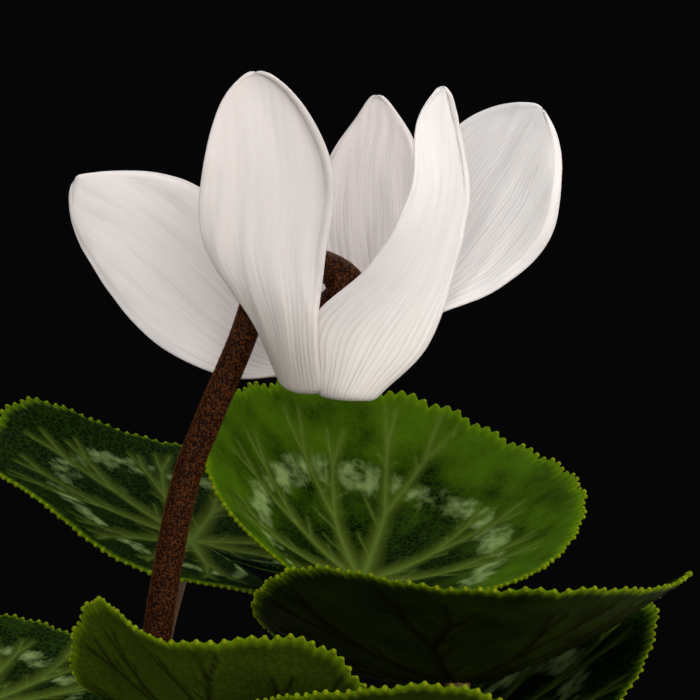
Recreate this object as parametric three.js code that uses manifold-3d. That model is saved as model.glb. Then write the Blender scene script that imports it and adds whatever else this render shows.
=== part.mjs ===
// A potted cyclamen: one open flower on its stalk over a rosette of round, toothed leaves, in a plain pot.
// Millimetres, +Z up. The origin is the middle of the pot's underside, the front is -Y, and the stalk
// leans towards +X.
import * as THREE from "three";
import { mergeVertices } from "three/addons/utils/BufferGeometryUtils.js";
import Module from "manifold-3d";

const wasm = await Module();
wasm.setup();

// ---------------------------------------------------------------- driving dimensions

const GAP = 0.3; // between pieces that touch on the plant

const POT = {
  height: 88,
  footRadius: 37,
  rimRadius: 52,
  rimHeight: 15,
  rimProud: 2.2,
  wall: 3.6,
  floor: 5,
  bevel: 1.4,
  drainRadius: 4.5,
  drainCircle: 22,
  drains: 4,
  sides: 36,
};

const SOIL = { level: 77, lump: 1.1, brim: 2 };

const CORM = { radius: 21, height: 25, crown: 85.5, crownRadius: 15, sides: 28 };

const FLOWER = {
  throat: [29.5, 0, 185], // middle of the throat, where the tube ends and the petals fold back
  tiltLeft: 8, // degrees that the tube's closed end leans left of upright
  tiltFront: 13, // and towards the front
  throatRadius: 5.4,
  tubeRadius: 5.9,
  tubeHeight: 7.2,
  widest: 2, // height of the tube's widest place above the throat
  tubeRows: [-0.6, 1, 2.5, 4.2, 5.7, 6.7], // heights of the rings of points of the tube
  tubeSides: 20,
  thickness: 0.75,
};

// Each petal leaves the throat over an arc about `root` (degrees round the flower's axis from its right side,
// away from the front), turns back and stands up. `low` and `high` are points on its two edges from the fold
// to the tip, the low edge at the smaller angle, from the middle of the throat. `belly` is how far the middle
// of the petal stands out from between its edges at the fold and at the tip, and `fold` how wide it turns.
const PETALS = [
  {
    root: 54,
    fold: 2.7,
    belly: [1.5, 0.6],
    low: [[7.5, 3.5, 0.5], [10.5, 8.5, 8], [10.5, 12.5, 16], [9, 15, 22], [6.5, 17, 27.5]],
    tip: [3, 18.5, 31],
    high: [[0, 8.5, -1], [-4.5, 12, 6.5], [-6, 15, 14.5], [-4.5, 17, 20.5], [0, 18.5, 28]],
  },
  {
    root: 126,
    fold: 2.7,
    belly: [0.9, -0.9],
    low: [[-0.5, 8, -1], [-7.5, 12, 7], [-14.5, 13.5, 16], [-23, 13, 21], [-33, 11, 21.5]],
    tip: [-35.5, 10, 20.5],
    high: [[-9, 3, -3.5], [-15.5, 4.5, -4], [-25, 7.5, 0], [-32.5, 9.5, 8.5], [-36, 10, 16]],
  },
  {
    root: 198,
    fold: 2.3,
    belly: [1.5, -1.8],
    low: [[-9.5, -1, -3], [-12.5, -4.5, 4], [-18.5, -8, 14], [-18.5, -10, 23], [-15.5, -10, 32.5]],
    tip: [-12, -9.5, 35],
    high: [[-4, -7.8, -3.5], [-4.5, -10, 3.5], [-3.5, -10, 12], [-2.5, -10, 23], [-7.5, -9.5, 32.5]],
  },
  {
    root: 270,
    fold: 3.5,
    belly: [1.9, 0.8],
    low: [[-5, -6.8, -3], [-5.5, -8.5, 4], [2, -13.5, 12], [6.5, -17.5, 21], [7.5, -18, 29.5]],
    tip: [10.5, -16.5, 33.5],
    high: [[3.5, -7, -4.5], [9, -5.5, 1], [12.5, -5, 11.5], [13.5, -7.5, 20.5], [12, -12.5, 29.5]],
  },
  {
    root: 342,
    fold: 2.3,
    belly: [0.6, -0.8],
    low: [[4.5, -6.5, -3], [9, -1.5, 3.5], [18.5, 0.5, 8], [24.5, 0, 14.5], [25.5, 0, 23]],
    tip: [23.5, 1, 30],
    high: [[8, 3, 0.5], [8, 6.5, 9], [9, 8.5, 19], [13, 7.5, 27.5], [18.5, 4.5, 30.5]],
  },
];
const PETAL_ARC = 40; // half of the arc that a petal takes of the throat, degrees
const PETAL_ROWS = { fold: 5, blade: 10 };
const PETAL_COLUMNS = 6;
const PETAL_END = 0.98; // share of the way to the tip where the last row of points lies
const PETAL_CROWD = 1.3; // how much the rows crowd towards the tip
const PETAL_STEP = 0.01; // between two places that give a petal's direction, as a share of its length

// The stalk's middle line, from the crown of the corm to the flower's tube, chosen by hand.
const STALK_ROUTE = [
  [0, 0, 85.8],
  [0.1, 0, 96],
  [0.8, 0, 112],
  [2.6, 0, 132],
  [5.4, 0, 153.6],
  [8.6, -0.2, 169.3],
  [11.3, -0.3, 176.3],
  [15.6, -0.4, 186.6],
  [17.5, -0.4, 191.9],
  [19.3, -0.5, 194.4],
  [21.8, -0.8, 195.9],
  [24.6, -1.2, 196.1],
  [26.8, -1.6, 195.2],
  [28.1, -1.8, 193.9],
  [28.5, -1.7, 192.7],
];
const STALK = { bottomRadius: 2, topRadius: 1.7, steps: 34, sides: 10 };

const CALYX = { cover: 42, point: 28, thickness: 0.8 }; // degrees of the tube's end under cup and points

const ANTHERS = {
  radius: 2.6,
  length: 6.4,
  seat: 0.65, // from the inside of the tube's closed end to their base
  ridges: 0.12, // share of the radius
  styleRadius: 0.5,
  styleLength: 2.2,
  stylePoint: 0.3,
};

const LEAF = {
  thickness: 0.7,
  teeth: 32,
  toothDepth: 0.016,
  rings: [
    { count: 8, share: 0.42 },
    { count: 16, share: 0.8 },
    { count: 64, share: 1 },
  ],
};
const PETIOLE = { radius: 1.4, steps: 7, sides: 6 };

// Each blade stands on its petiole at `at`, points to `heading` (degrees from +X), and rises by `pitch` and
// rolls by `roll`. `size` is about the length from petiole to tip. `cup` lifts the whole edge, `droop` bends
// the tip down, `fold` lifts the sides, and `wave` is the height of the waves along the edge. `ring` is the
// radius at which its petiole leaves the crown of the corm.
const LEAVES = [
  { at: [30.5, 31.5, 150.5], heading: 79, pitch: 12, roll: 16, size: 33, cup: 0.41, droop: 0.04, fold: 0.25,
    wave: 0.6, waves: 5, phase: 1, ring: 5 },
  { at: [6.7, 54, 152.6], heading: 150, pitch: 22, roll: -1, size: 31.7, cup: 0.14, droop: 0.03, fold: 0.03,
    wave: 1.7, waves: 5, phase: 2, ring: 5 },
  { at: [42.5, 0, 143], heading: -70, pitch: 19, roll: -4, size: 34.5, cup: 0.19, droop: 0.08, fold: 0.27,
    wave: 0.7, waves: 6, phase: 1.35, ring: 6 },
  { at: [17.5, -38, 140.7], heading: -114, pitch: 30, roll: -6, size: 27.5, cup: 0.22, droop: -0.03,
    fold: 0.05, wave: 3, waves: 5, phase: -1.57, ring: 6 },
  { at: [-18.5, -0.3, 139.5], heading: 157, pitch: 5, roll: -11, size: 29.7, cup: 0.07, droop: 0.03,
    fold: 0.06, wave: 0.5, waves: 5, phase: 2, ring: 5 },
  { at: [36, -49.5, 140.4], heading: -85, pitch: 23, roll: -11, size: 28, cup: 0.08, droop: -0.08, fold: 0,
    wave: 0.5, waves: 5, phase: 0.5, ring: 9 },
  { at: [41, 14, 130], heading: 3, pitch: 29, roll: 6, size: 32, cup: 0, droop: -0.13, fold: -0.05,
    wave: 0.5, waves: 5, phase: 0, ring: 9 },
];

// The lower leaves, which hang out over the rim all round: azimuth, reach and height of each.
const LOWER_LEAVES = [
  { azimuth: 62, reach: 56, height: 112 },
  { azimuth: 105, reach: 59, height: 106 },
  { azimuth: 146, reach: 54, height: 116 },
  { azimuth: 186, reach: 58, height: 107 },
  { azimuth: 222, reach: 54, height: 118 },
  { azimuth: 262, reach: 58, height: 105 },
  { azimuth: 305, reach: 57, height: 103 },
  { azimuth: 345, reach: 60, height: 106 },
];

// The young leaves, small and close round the middle: azimuth, reach, height and size of each.
const YOUNG_LEAVES = [
  { azimuth: 122, reach: 33, height: 124, size: 24 },
  { azimuth: 196, reach: 26, height: 104, size: 19 },
  { azimuth: 246, reach: 31, height: 128, size: 24 },
  { azimuth: 338, reach: 26, height: 104, size: 17 },
];

// ---------------------------------------------------------------- helpers

const radians = THREE.MathUtils.degToRad;
const vector = (x, y, z) => new THREE.Vector3(x, y, z);
const ease = (x) => THREE.MathUtils.smoothstep(x, 0, 1);

// A geometry from a list of points and a list of triangles.
function geometryOf(points, triangles) {
  const geometry = new THREE.BufferGeometry().setFromPoints(points);
  geometry.setIndex(triangles.flat());
  return geometry;
}

// A thin solid from an open sheet. Both faces carry the same triangles, and a band joins them at the edge.
function thicken({ points, triangles }, thickness) {
  const normals = points.map(() => vector(0, 0, 0));
  const edges = new Set();
  for (const [a, b, c] of triangles) {
    const side = points[b].clone().sub(points[a]);
    const normal = side.cross(points[c].clone().sub(points[a]));
    for (const corner of [a, b, c]) normals[corner].add(normal);
    for (const [from, to] of [[a, b], [b, c], [c, a]]) edges.add(from + " " + to);
  }
  normals.forEach((normal) => normal.normalize());
  const shifted = (reach) => points.map((p, i) => p.clone().addScaledVector(normals[i], reach));
  const all = [...shifted(thickness / 2), ...shifted(-thickness / 2)];
  const under = points.length;
  const faces = [...triangles, ...triangles.map(([a, b, c]) => [c + under, b + under, a + under])];
  for (const edge of edges) {
    const [a, b] = edge.split(" ").map(Number);
    if (edges.has(b + " " + a)) continue;
    faces.push([b, a, a + under], [b, a + under, b + under]);
  }
  return geometryOf(all, faces);
}

// A sheet made of rings about a middle point, each ring with its own count of points.
function polarSheet(rings, middle, place) {
  const points = [middle];
  const triangles = [];
  let before = null;
  for (const { count, share } of rings) {
    const start = points.length;
    for (let k = 0; k < count; k++) points.push(place(-Math.PI + (2 * Math.PI * k) / count, share));
    const ring = { start, count };
    if (!before) {
      for (let k = 0; k < count; k++) triangles.push([0, start + k, start + ((k + 1) % count)]);
    } else {
      const each = count / before.count;
      for (let k = 0; k < before.count; k++) {
        const inside = before.start + k;
        const insideNext = before.start + ((k + 1) % before.count);
        const at = (i) => start + ((k * each + i) % count);
        const swap = Math.ceil(each / 2);
        for (let i = 0; i < each; i++) {
          triangles.push([i < swap ? inside : insideNext, at(i), at(i + 1)]);
        }
        triangles.push([inside, at(swap), insideNext]);
      }
    }
    before = ring;
  }
  return { points, triangles };
}

// A closed body from rings of points, each with as many points, between a first and a last point.
function lofted(first, rings, last) {
  const points = [...rings.flat(), first, last];
  const sides = rings[0].length;
  const end = (rings.length - 1) * sides;
  const triangles = [];
  for (let k = 0; k < sides; k++) {
    const next = (k + 1) % sides;
    triangles.push([points.length - 2, next, k], [points.length - 1, end + k, end + next]);
    for (let i = 0; i < end; i += sides) {
      triangles.push([i + k, i + next, i + next + sides], [i + k, i + next + sides, i + k + sides]);
    }
  }
  return geometryOf(points, triangles);
}

// A tapered stalk along a curve, with flat ends.
function stalkAlong(curve, steps, sides, radiusAt) {
  const frames = curve.computeFrenetFrames(steps, false);
  const rings = [];
  for (let i = 0; i <= steps; i++) {
    const middle = curve.getPointAt(i / steps);
    const ring = [];
    for (let k = 0; k < sides; k++) {
      const turn = (2 * Math.PI * k) / sides;
      const out = frames.normals[i].clone().multiplyScalar(Math.cos(turn));
      out.addScaledVector(frames.binormals[i], Math.sin(turn));
      ring.push(middle.clone().addScaledVector(out, radiusAt(i / steps)));
    }
    rings.push(ring);
  }
  return lofted(curve.getPointAt(0), rings, curve.getPointAt(1));
}

// A body turned about +Z from a profile of [radius, height] that starts and ends on the axis and has the
// body on its left.
function turned(profile, sides) {
  const outline = profile.map(([radius, height]) => new THREE.Vector2(radius, height));
  return new THREE.LatheGeometry(outline, sides).rotateX(Math.PI / 2);
}

// Joining and cutting.
function solidOf(geometry) {
  const bare = geometry.clone();
  bare.deleteAttribute("normal");
  bare.deleteAttribute("uv");
  const merged = mergeVertices(bare, 1e-3);
  return new wasm.Manifold(
    new wasm.Mesh({
      numProp: 3,
      vertProperties: merged.attributes.position.array,
      triVerts: new Uint32Array(merged.index.array),
    }),
  );
}

function geometryFrom(solid) {
  const { numProp, vertProperties, triVerts } = solid.getMesh();
  const geometry = new THREE.BufferGeometry();
  geometry.setAttribute("position", new THREE.BufferAttribute(vertProperties, numProp));
  geometry.setIndex(new THREE.BufferAttribute(triVerts, 1));
  return geometry;
}

const joined = (geometries) => geometryFrom(wasm.Manifold.union(geometries.map(solidOf)));

const plant = new THREE.Group();

function add(name, geometry, material) {
  const mesh = new THREE.Mesh(geometry, new THREE.MeshStandardMaterial(material));
  mesh.name = name;
  plant.add(mesh);
}

// ---------------------------------------------------------------- pot, soil and corm

const GLAZE = { color: 0x4d565e, roughness: 0.55, metalness: 0 };
const PEAT = { color: 0x2c211a, roughness: 1, metalness: 0 };
const CORM_SKIN = { color: 0x6b4a33, roughness: 0.9, metalness: 0 };

const bodyTop = POT.height - POT.rimHeight;
const bodyTopRadius = POT.rimRadius - POT.rimProud;

// The radius of the pot's inner wall at a height.
function innerRadius(height) {
  const slope = (bodyTopRadius - POT.footRadius) / bodyTop;
  return POT.footRadius + slope * Math.min(height, bodyTop) - POT.wall;
}

function potGeometry() {
  const shell = turned(
    [
      [0, 0],
      [POT.footRadius - POT.bevel, 0],
      [POT.footRadius, POT.bevel],
      [bodyTopRadius, bodyTop],
      [POT.rimRadius, bodyTop + POT.bevel],
      [POT.rimRadius, POT.height - POT.bevel],
      [POT.rimRadius - POT.bevel, POT.height],
      [innerRadius(bodyTop) + POT.bevel, POT.height],
      [innerRadius(bodyTop), POT.height - POT.bevel],
      [innerRadius(bodyTop), bodyTop],
      [innerRadius(POT.floor), POT.floor],
      [0, POT.floor],
    ],
    POT.sides,
  );
  let pot = solidOf(shell);
  for (let i = 0; i < POT.drains; i++) {
    const turn = (2 * Math.PI * (i + 0.5)) / POT.drains;
    const drill = new THREE.CylinderGeometry(POT.drainRadius, POT.drainRadius, 4 * POT.floor, 14);
    drill.rotateX(Math.PI / 2);
    drill.translate(POT.drainCircle * Math.cos(turn), POT.drainCircle * Math.sin(turn), 0);
    pot = pot.subtract(solidOf(drill));
  }
  return geometryFrom(pot);
}

// The corm is a flattened ball with a flat crown that every stalk grows from.
function cormProfile(grow) {
  const { radius, height, crown, crownRadius } = CORM;
  const profile = [[0, crown - height - grow]];
  const low = radians(-80);
  const high = Math.acos(crownRadius / radius);
  const steps = 9;
  for (let i = 0; i <= steps; i++) {
    const turn = low + ((high - low) * i) / steps;
    const middle = crown - height * 0.5;
    const reach = (height / 2) * (turn > 0 ? 1 / Math.sin(high) : 1);
    profile.push([(radius + grow) * Math.cos(turn), middle + (reach + grow) * Math.sin(turn)]);
  }
  return profile;
}

// The soil fills the pot, with a low lumpy top and a hollow that the corm sits in.
function soilGeometry() {
  const bottom = POT.floor + GAP;
  const sunk = cormProfile(GAP).filter(([, height]) => height < SOIL.level);
  const brim = Math.max(...sunk.map(([radius]) => radius)) + SOIL.brim;
  const rows = [
    [0, bottom],
    [innerRadius(bottom) - GAP, bottom],
    [innerRadius(SOIL.level) - GAP, SOIL.level],
  ];
  const lumpRows = 4;
  for (let i = 1; i <= lumpRows; i++) {
    const edge = innerRadius(SOIL.level) - GAP;
    rows.push([edge + ((brim - edge) * i) / lumpRows, SOIL.level]);
  }
  const geometry = turned([...rows, ...sunk.reverse()], POT.sides);
  const place = geometry.getAttribute("position");
  for (let i = 0; i < place.count; i++) {
    const [x, y, z] = [place.getX(i), place.getY(i), place.getZ(i)];
    const radius = Math.hypot(x, y);
    if (Math.abs(z - SOIL.level) > 0.01 || radius < brim - 0.01) continue;
    const lump = Math.sin(0.31 * x + 1.7) * Math.cos(0.27 * y) + 0.6 * Math.sin(0.55 * y + 0.41 * x);
    place.setZ(i, z + SOIL.lump * lump);
  }
  return geometry;
}

add("pot", potGeometry(), GLAZE);
add("potting_soil", soilGeometry(), PEAT);
add("corm", turned([...cormProfile(0), [0, CORM.crown]], CORM.sides), CORM_SKIN);

// ---------------------------------------------------------------- flower

const PETAL_WHITE = { color: 0xf1ebe9, roughness: 0.6, metalness: 0 };
const STALK_BROWN = { color: 0x6d3b26, roughness: 0.75, metalness: 0 };
const ANTHER_YELLOW = { color: 0xc9a24e, roughness: 0.8, metalness: 0 };

// The flower's own directions: `axis` runs from the mouth to the petals' tips, `right` across the view.
const left = radians(-FLOWER.tiltLeft);
const front = radians(FLOWER.tiltFront);
const axis = vector(Math.sin(left) * Math.cos(front), -Math.sin(front), Math.cos(left) * Math.cos(front));
const right = vector(Math.cos(left), 0, -Math.sin(left));
const away = axis.clone().cross(right);
const throat = vector(...FLOWER.throat);

// A point of the flower's tube: a distance from its axis, an angle round it and a height over the throat.
function inTube(radius, angle, height) {
  return throat
    .clone()
    .addScaledVector(axis, height)
    .addScaledVector(right, radius * Math.cos(angle))
    .addScaledVector(away, radius * Math.sin(angle));
}

// One petal as a sheet. At the throat it is an arc of the tube. It turns back over the fold into a blade that
// is stretched between its two edges, and bellied.
function petalSheet({ root, fold, belly, low, tip, high }) {
  const places = [...low, tip, ...high.toReversed()].map((place) => throat.clone().add(vector(...place)));
  const outline = new THREE.CatmullRomCurve3(places);
  const edges = (share) => [outline.getPoint(share / 2), outline.getPoint(1 - share / 2)];

  // A point of the blade, by its share of the way to the tip and its place across from -1 to 1.
  function inBlade(share, across) {
    const [from, to] = edges(share);
    const [fromNext, toNext] = edges(share + PETAL_STEP);
    const along = fromNext.add(toNext).sub(from).sub(to);
    const out = to.clone().sub(from).cross(along).normalize();
    const depth = (belly[0] + (belly[1] - belly[0]) * ease(share)) * (1 - share ** 4);
    return from.lerp(to, (1 + across) / 2).addScaledVector(out, depth * (1 - across ** 2));
  }

  // The fold from the throat to the foot of the blade.
  function foldAt(across) {
    const start = inTube(FLOWER.throatRadius, radians(root + PETAL_ARC * across), 0);
    const end = inBlade(0, across);
    const upward = inBlade(PETAL_STEP, across).sub(end).normalize();
    return new THREE.CubicBezierCurve3(
      start,
      start.clone().addScaledVector(axis, -fold),
      end.clone().addScaledVector(upward, -fold),
      end,
    );
  }

  const columns = Array.from({ length: PETAL_COLUMNS + 1 }, (_, k) => (2 * k) / PETAL_COLUMNS - 1);
  const points = [];
  for (let i = 0; i < PETAL_ROWS.fold; i++) {
    points.push(...columns.map((across) => foldAt(across).getPoint(i / PETAL_ROWS.fold)));
  }
  for (let i = 0; i <= PETAL_ROWS.blade; i++) {
    const share = PETAL_END * (1 - (1 - i / PETAL_ROWS.blade) ** PETAL_CROWD);
    points.push(...columns.map((across) => inBlade(share, across)));
  }
  const triangles = [];
  const wide = columns.length;
  for (let i = 0; i + wide < points.length; i += wide) {
    for (let k = 0; k < PETAL_COLUMNS; k++) {
      const a = i + k;
      triangles.push([a, a + 1, a + 1 + wide], [a, a + 1 + wide, a + wide]);
    }
  }
  return { points, triangles };
}

// The tube: a short globe, closed at the top and open at the throat, with a wall as thick as the petals.
function tubeRadiusAt(height) {
  const { widest, tubeRadius, tubeHeight, throatRadius } = FLOWER;
  if (height > widest) {
    const share = (height - widest) / (tubeHeight - widest);
    return tubeRadius * Math.sqrt(Math.max(0, 1 - share * share));
  }
  return throatRadius + (tubeRadius - throatRadius) * ease(height / widest);
}

function tubeGeometry() {
  const half = FLOWER.thickness / 2;
  const top = FLOWER.tubeHeight;
  const outer = FLOWER.tubeRows.map((height) => [tubeRadiusAt(height) + half, height]);
  const inner = FLOWER.tubeRows.map((height) => [tubeRadiusAt(height) - half, Math.min(height, top - 1)]);
  return turnedInTube([[0, top - FLOWER.thickness], ...inner.reverse(), ...outer, [0, top]], () => 1);
}

// A body turned about the tube's own axis, from a profile that starts and ends on it.
function turnedInTube(profile, swell) {
  const sides = FLOWER.tubeSides;
  const angles = Array.from({ length: sides }, (_, k) => (2 * Math.PI * k) / sides);
  const rings = profile
    .slice(1, -1)
    .map(([wide, height]) => angles.map((angle) => inTube(wide * swell(angle, wide), angle, height)));
  return lofted(inTube(0, 0, profile[0][1]), rings, inTube(0, 0, profile.at(-1)[1]));
}

// The calyx: a thin cup on the tube's closed end, with five pointed sepals.
function calyxSheet() {
  const reach = FLOWER.thickness / 2 + GAP + CALYX.thickness / 2;
  const { widest, tubeRadius, tubeHeight } = FLOWER;
  const rings = [
    { count: 5, share: 0.25 },
    { count: 10, share: 0.6 },
    { count: 20, share: 1 },
  ];
  const onTube = (polar, angle) =>
    inTube(
      (tubeRadius + reach) * Math.sin(polar),
      angle,
      widest + (tubeHeight - widest + reach) * Math.cos(polar),
    );
  const edge = (angle) => radians(CALYX.cover + CALYX.point * Math.abs(Math.cos(2.5 * angle)) ** 1.6);
  return polarSheet(rings, onTube(0, 0), (angle, share) => onTube(edge(angle) * share, angle));
}

const corolla = [tubeGeometry(), ...PETALS.map((petal) => thicken(petalSheet(petal), FLOWER.thickness))];
add("corolla", joined(corolla), PETAL_WHITE);

const route = new THREE.CatmullRomCurve3(STALK_ROUTE.map((place) => vector(...place)));
const taper = (share) => STALK.bottomRadius + (STALK.topRadius - STALK.bottomRadius) * share;
const stalk = stalkAlong(route, STALK.steps, STALK.sides, taper);
add("flower_stem", joined([stalk, thicken(calyxSheet(), CALYX.thickness)]), STALK_BROWN);

// The anthers stand in a five-ridged cone under the tube's closed end, round the style.
function antherGeometry() {
  const { radius, length, seat, styleRadius, styleLength, stylePoint, ridges } = ANTHERS;
  const base = FLOWER.tubeHeight - FLOWER.thickness - seat;
  const tip = base - length - styleLength;
  const profile = [
    [0, tip],
    [styleRadius, tip + stylePoint],
    [styleRadius, base - length - stylePoint],
    [radius * 0.45, base - length],
    [radius * 0.8, base - length * 0.55],
    [radius, base - length * 0.15],
    [radius * 0.8, base],
    [0, base],
  ];
  return turnedInTube(profile, (angle, wide) => (wide > styleRadius ? 1 + ridges * Math.cos(5 * angle) : 1));
}

add("anther_cone", antherGeometry(), ANTHER_YELLOW);

// ---------------------------------------------------------------- leaves

const LEAF_GREEN = { color: 0x3f6a2c, roughness: 0.5, metalness: 0 };
const PETIOLE_BROWN = { color: 0x7a4a34, roughness: 0.7, metalness: 0 };

// How far the edge of a blade lies from its petiole, as a share of its size: a kidney shape with a deep,
// narrow notch at the petiole, a short point at the tip and shallow teeth all round.
function edgeShare(angle) {
  const body = 0.8 + 0.16 * Math.cos(angle) + 0.04 * Math.cos(2 * angle);
  const tip = 0.05 * Math.exp(-((angle / 0.25) ** 2));
  const notch = 1 - 0.86 * Math.exp(-(((Math.PI - Math.abs(angle)) / 0.24) ** 2));
  const tooth = 2 * Math.abs(Math.sin((angle * LEAF.teeth) / 2)) ** 0.7 - 1;
  return (body + tip) * notch * (1 + LEAF.toothDepth * tooth);
}

function leafFrame(leaf) {
  const heading = radians(leaf.heading);
  const pitch = radians(leaf.pitch);
  const tipward = vector(
    Math.cos(heading) * Math.cos(pitch),
    Math.sin(heading) * Math.cos(pitch),
    Math.sin(pitch),
  );
  const level = vector(-Math.sin(heading), Math.cos(heading), 0);
  const leftward = level.clone().applyAxisAngle(tipward, radians(leaf.roll));
  return { tipward, leftward, up: tipward.clone().cross(leftward) };
}

function leafSheet(leaf) {
  const { tipward, leftward, up } = leafFrame(leaf);
  const middle = vector(...leaf.at);
  return polarSheet(LEAF.rings, middle, (angle, share) => {
    const reach = edgeShare(angle) * share;
    const x = reach * Math.cos(angle) * leaf.size;
    const y = reach * Math.sin(angle) * leaf.size;
    let lift = leaf.cup * reach ** 2 * leaf.size;
    lift -= leaf.droop * (x / leaf.size) * Math.abs(x);
    lift += (leaf.fold * Math.abs(y) ** 1.3) / leaf.size ** 0.3;
    lift += leaf.wave * reach ** 3 * Math.sin(leaf.waves * angle + leaf.phase);
    return middle
      .clone()
      .addScaledVector(tipward, x)
      .addScaledVector(leftward, y)
      .addScaledVector(up, lift);
  });
}

// The petiole rises from the crown on the side of its own leaf and comes up square to the blade.
function petioleGeometry(leaf) {
  const { up } = leafFrame(leaf);
  const end = vector(...leaf.at).addScaledVector(up, -(LEAF.thickness / 2 + GAP));
  const side = Math.atan2(leaf.at[1], leaf.at[0]);
  const start = vector(leaf.ring * Math.cos(side), leaf.ring * Math.sin(side), CORM.crown + GAP);
  const rise = end.z - start.z;
  const curve = new THREE.CubicBezierCurve3(
    start,
    start.clone().add(vector(0, 0, 0.55 * rise)),
    end.clone().addScaledVector(up, -0.3 * rise),
    end,
  );
  return stalkAlong(curve, PETIOLE.steps, PETIOLE.sides, () => PETIOLE.radius);
}

const lowerLeaf = ({ azimuth, reach, height }, i) => ({
  at: [reach * Math.cos(radians(azimuth)), reach * Math.sin(radians(azimuth)), height],
  heading: azimuth + 12 * Math.sin(2.1 * i),
  pitch: -14 + 6 * Math.sin(1.3 * i + 1),
  roll: 6 * Math.sin(1.9 * i),
  size: 29 + 2 * Math.sin(2.7 * i),
  cup: 0.08,
  droop: 0.12,
  fold: 0.05,
  wave: 1,
  waves: 5,
  phase: i,
  ring: 12,
});

const youngLeaf = ({ azimuth, reach, height, size }, i) => ({
  at: [reach * Math.cos(radians(azimuth)), reach * Math.sin(radians(azimuth)), height],
  heading: azimuth + 10 * Math.sin(1.7 * i + 2),
  pitch: 4 + 3 * Math.sin(2.3 * i),
  roll: 5 * Math.sin(1.1 * i + 1),
  size,
  cup: 0.13,
  droop: 0.05,
  fold: 0.06,
  wave: 0.8,
  waves: 4,
  phase: 2 * i,
  ring: 8.5,
});

[...LEAVES, ...LOWER_LEAVES.map(lowerLeaf), ...YOUNG_LEAVES.map(youngLeaf)].forEach((leaf, i) => {
  const number = String(i + 1).padStart(2, "0");
  add(`leaf_${number}_blade`, thicken(leafSheet(leaf), LEAF.thickness), LEAF_GREEN);
  add(`leaf_${number}_petiole`, petioleGeometry(leaf), PETIOLE_BROWN);
});

export default plant;
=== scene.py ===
"""A potted cyclamen: one open white flower over a rosette of silver-marked leaves, in a slate-grey pot."""

import functools
import math

import bmesh
import bpy
import numpy as np
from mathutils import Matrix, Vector, noise


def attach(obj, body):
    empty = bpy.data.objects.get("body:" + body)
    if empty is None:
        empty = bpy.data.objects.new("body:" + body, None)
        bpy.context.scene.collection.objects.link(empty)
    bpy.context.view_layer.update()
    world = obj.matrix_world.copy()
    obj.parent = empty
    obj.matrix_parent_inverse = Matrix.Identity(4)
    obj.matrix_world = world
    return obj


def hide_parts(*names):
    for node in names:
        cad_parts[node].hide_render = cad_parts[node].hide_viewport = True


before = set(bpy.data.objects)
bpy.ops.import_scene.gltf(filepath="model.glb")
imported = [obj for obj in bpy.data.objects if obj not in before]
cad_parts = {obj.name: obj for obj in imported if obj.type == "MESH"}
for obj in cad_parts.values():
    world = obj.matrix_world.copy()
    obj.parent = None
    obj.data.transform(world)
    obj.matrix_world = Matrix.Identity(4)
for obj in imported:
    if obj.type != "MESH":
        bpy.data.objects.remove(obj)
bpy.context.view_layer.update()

MM = 0.001  # every size below is in millimetres, and Blender's unit is the metre


# ---------------------------------------- pot
# A plain round flower pot with a collar rim, of stoneware thrown on a wheel. It was dipped in a slate-grey
# glaze, which ran thin over the edges and lets the warmer clay show through there. Four holes drain it.

POT_HEIGHT = 88
POT_FOOT_RADIUS = 37
POT_RIM_RADIUS = 52
POT_RIM_HEIGHT = 15
POT_RIM_PROUD = 2.2
POT_WALL = 3.6
POT_FLOOR = 5
POT_EDGE = 1.3  # radius of its rounded edges
POT_ROUND = 144  # steps round the wheel
DRAIN_RADIUS = 4.5
DRAIN_CIRCLE = 22
DRAINS = 4
DRAIN_SIDES = 40
SHARP_EDGE = math.radians(50)  # edges that turn more than this stay sharp

body_top = POT_HEIGHT - POT_RIM_HEIGHT
body_top_radius = POT_RIM_RADIUS - POT_RIM_PROUD


def inner_radius(height):
    """Radius of the pot's inner wall at a height."""
    slope = (body_top_radius - POT_FOOT_RADIUS) / body_top
    return POT_FOOT_RADIUS + slope * min(height, body_top) - POT_WALL


def ease(x):
    """0 up to 0, 1 from 1 on, and smooth between."""
    x = np.clip(x, 0, 1)
    return x * x * (3 - 2 * x)


def linear(colour):
    """A colour written as sRGB hex, such as 0x4d565e, in linear light."""
    parts = [((colour >> shift) & 255) / 255 for shift in (16, 8, 0)]
    return (*((c / 12.92 if c <= 0.04045 else ((c + 0.055) / 1.055) ** 2.4) for c in parts), 1.0)


# For some kinds of node: the inputs that bare values go to, the output that is used, and settings. For the
# others they go to the first inputs: a MapRange has its value, then the range it is in and the one it gets.
NODE_USE = {
    "Attribute": ((), 2, {}),
    "TexCoord": ((), 3, {}),
    "SeparateXYZ": ((0,), 2, {}),
    "Mix": ((0, 6, 7), 2, {"data_type": "RGBA"}),
    "Bump": (("Height", "Strength", "Distance"), 0, {}),
    "TexNoise": (("Vector", "Scale", "Detail"), 0, {}),
    "TexVoronoi": (("Vector", "Scale"), 0, {}),
}


def add_node(material, kind, *values, output=None, **settings):
    """Adds a node, or finds the shader, and gives back one of its outputs. A kind may end with an operation.
    Bare values, and settings with a capital, are inputs. Other settings are the node's own."""
    kind, _, operation = kind.partition(" ")
    bare_inputs, usual_output, usual_settings = NODE_USE.get(kind, (range(5), 0, {}))
    tree = material.node_tree
    added = tree.nodes["Principled BSDF"] if kind == "Shader" else tree.nodes.new("ShaderNode" + kind)
    if operation:
        added.operation = operation
    inputs = dict(zip(bare_inputs, values))
    for name, value in {**usual_settings, **settings}.items():
        if name[0].isupper():
            inputs[name.replace("_", " ")] = value
        else:
            setattr(added, name, value)
    for name, value in inputs.items():
        if isinstance(value, bpy.types.NodeSocket):
            tree.links.new(value, added.inputs[name])
        else:
            added.inputs[name].default_value = value
    return added.outputs[usual_output if output is None else output]


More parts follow.
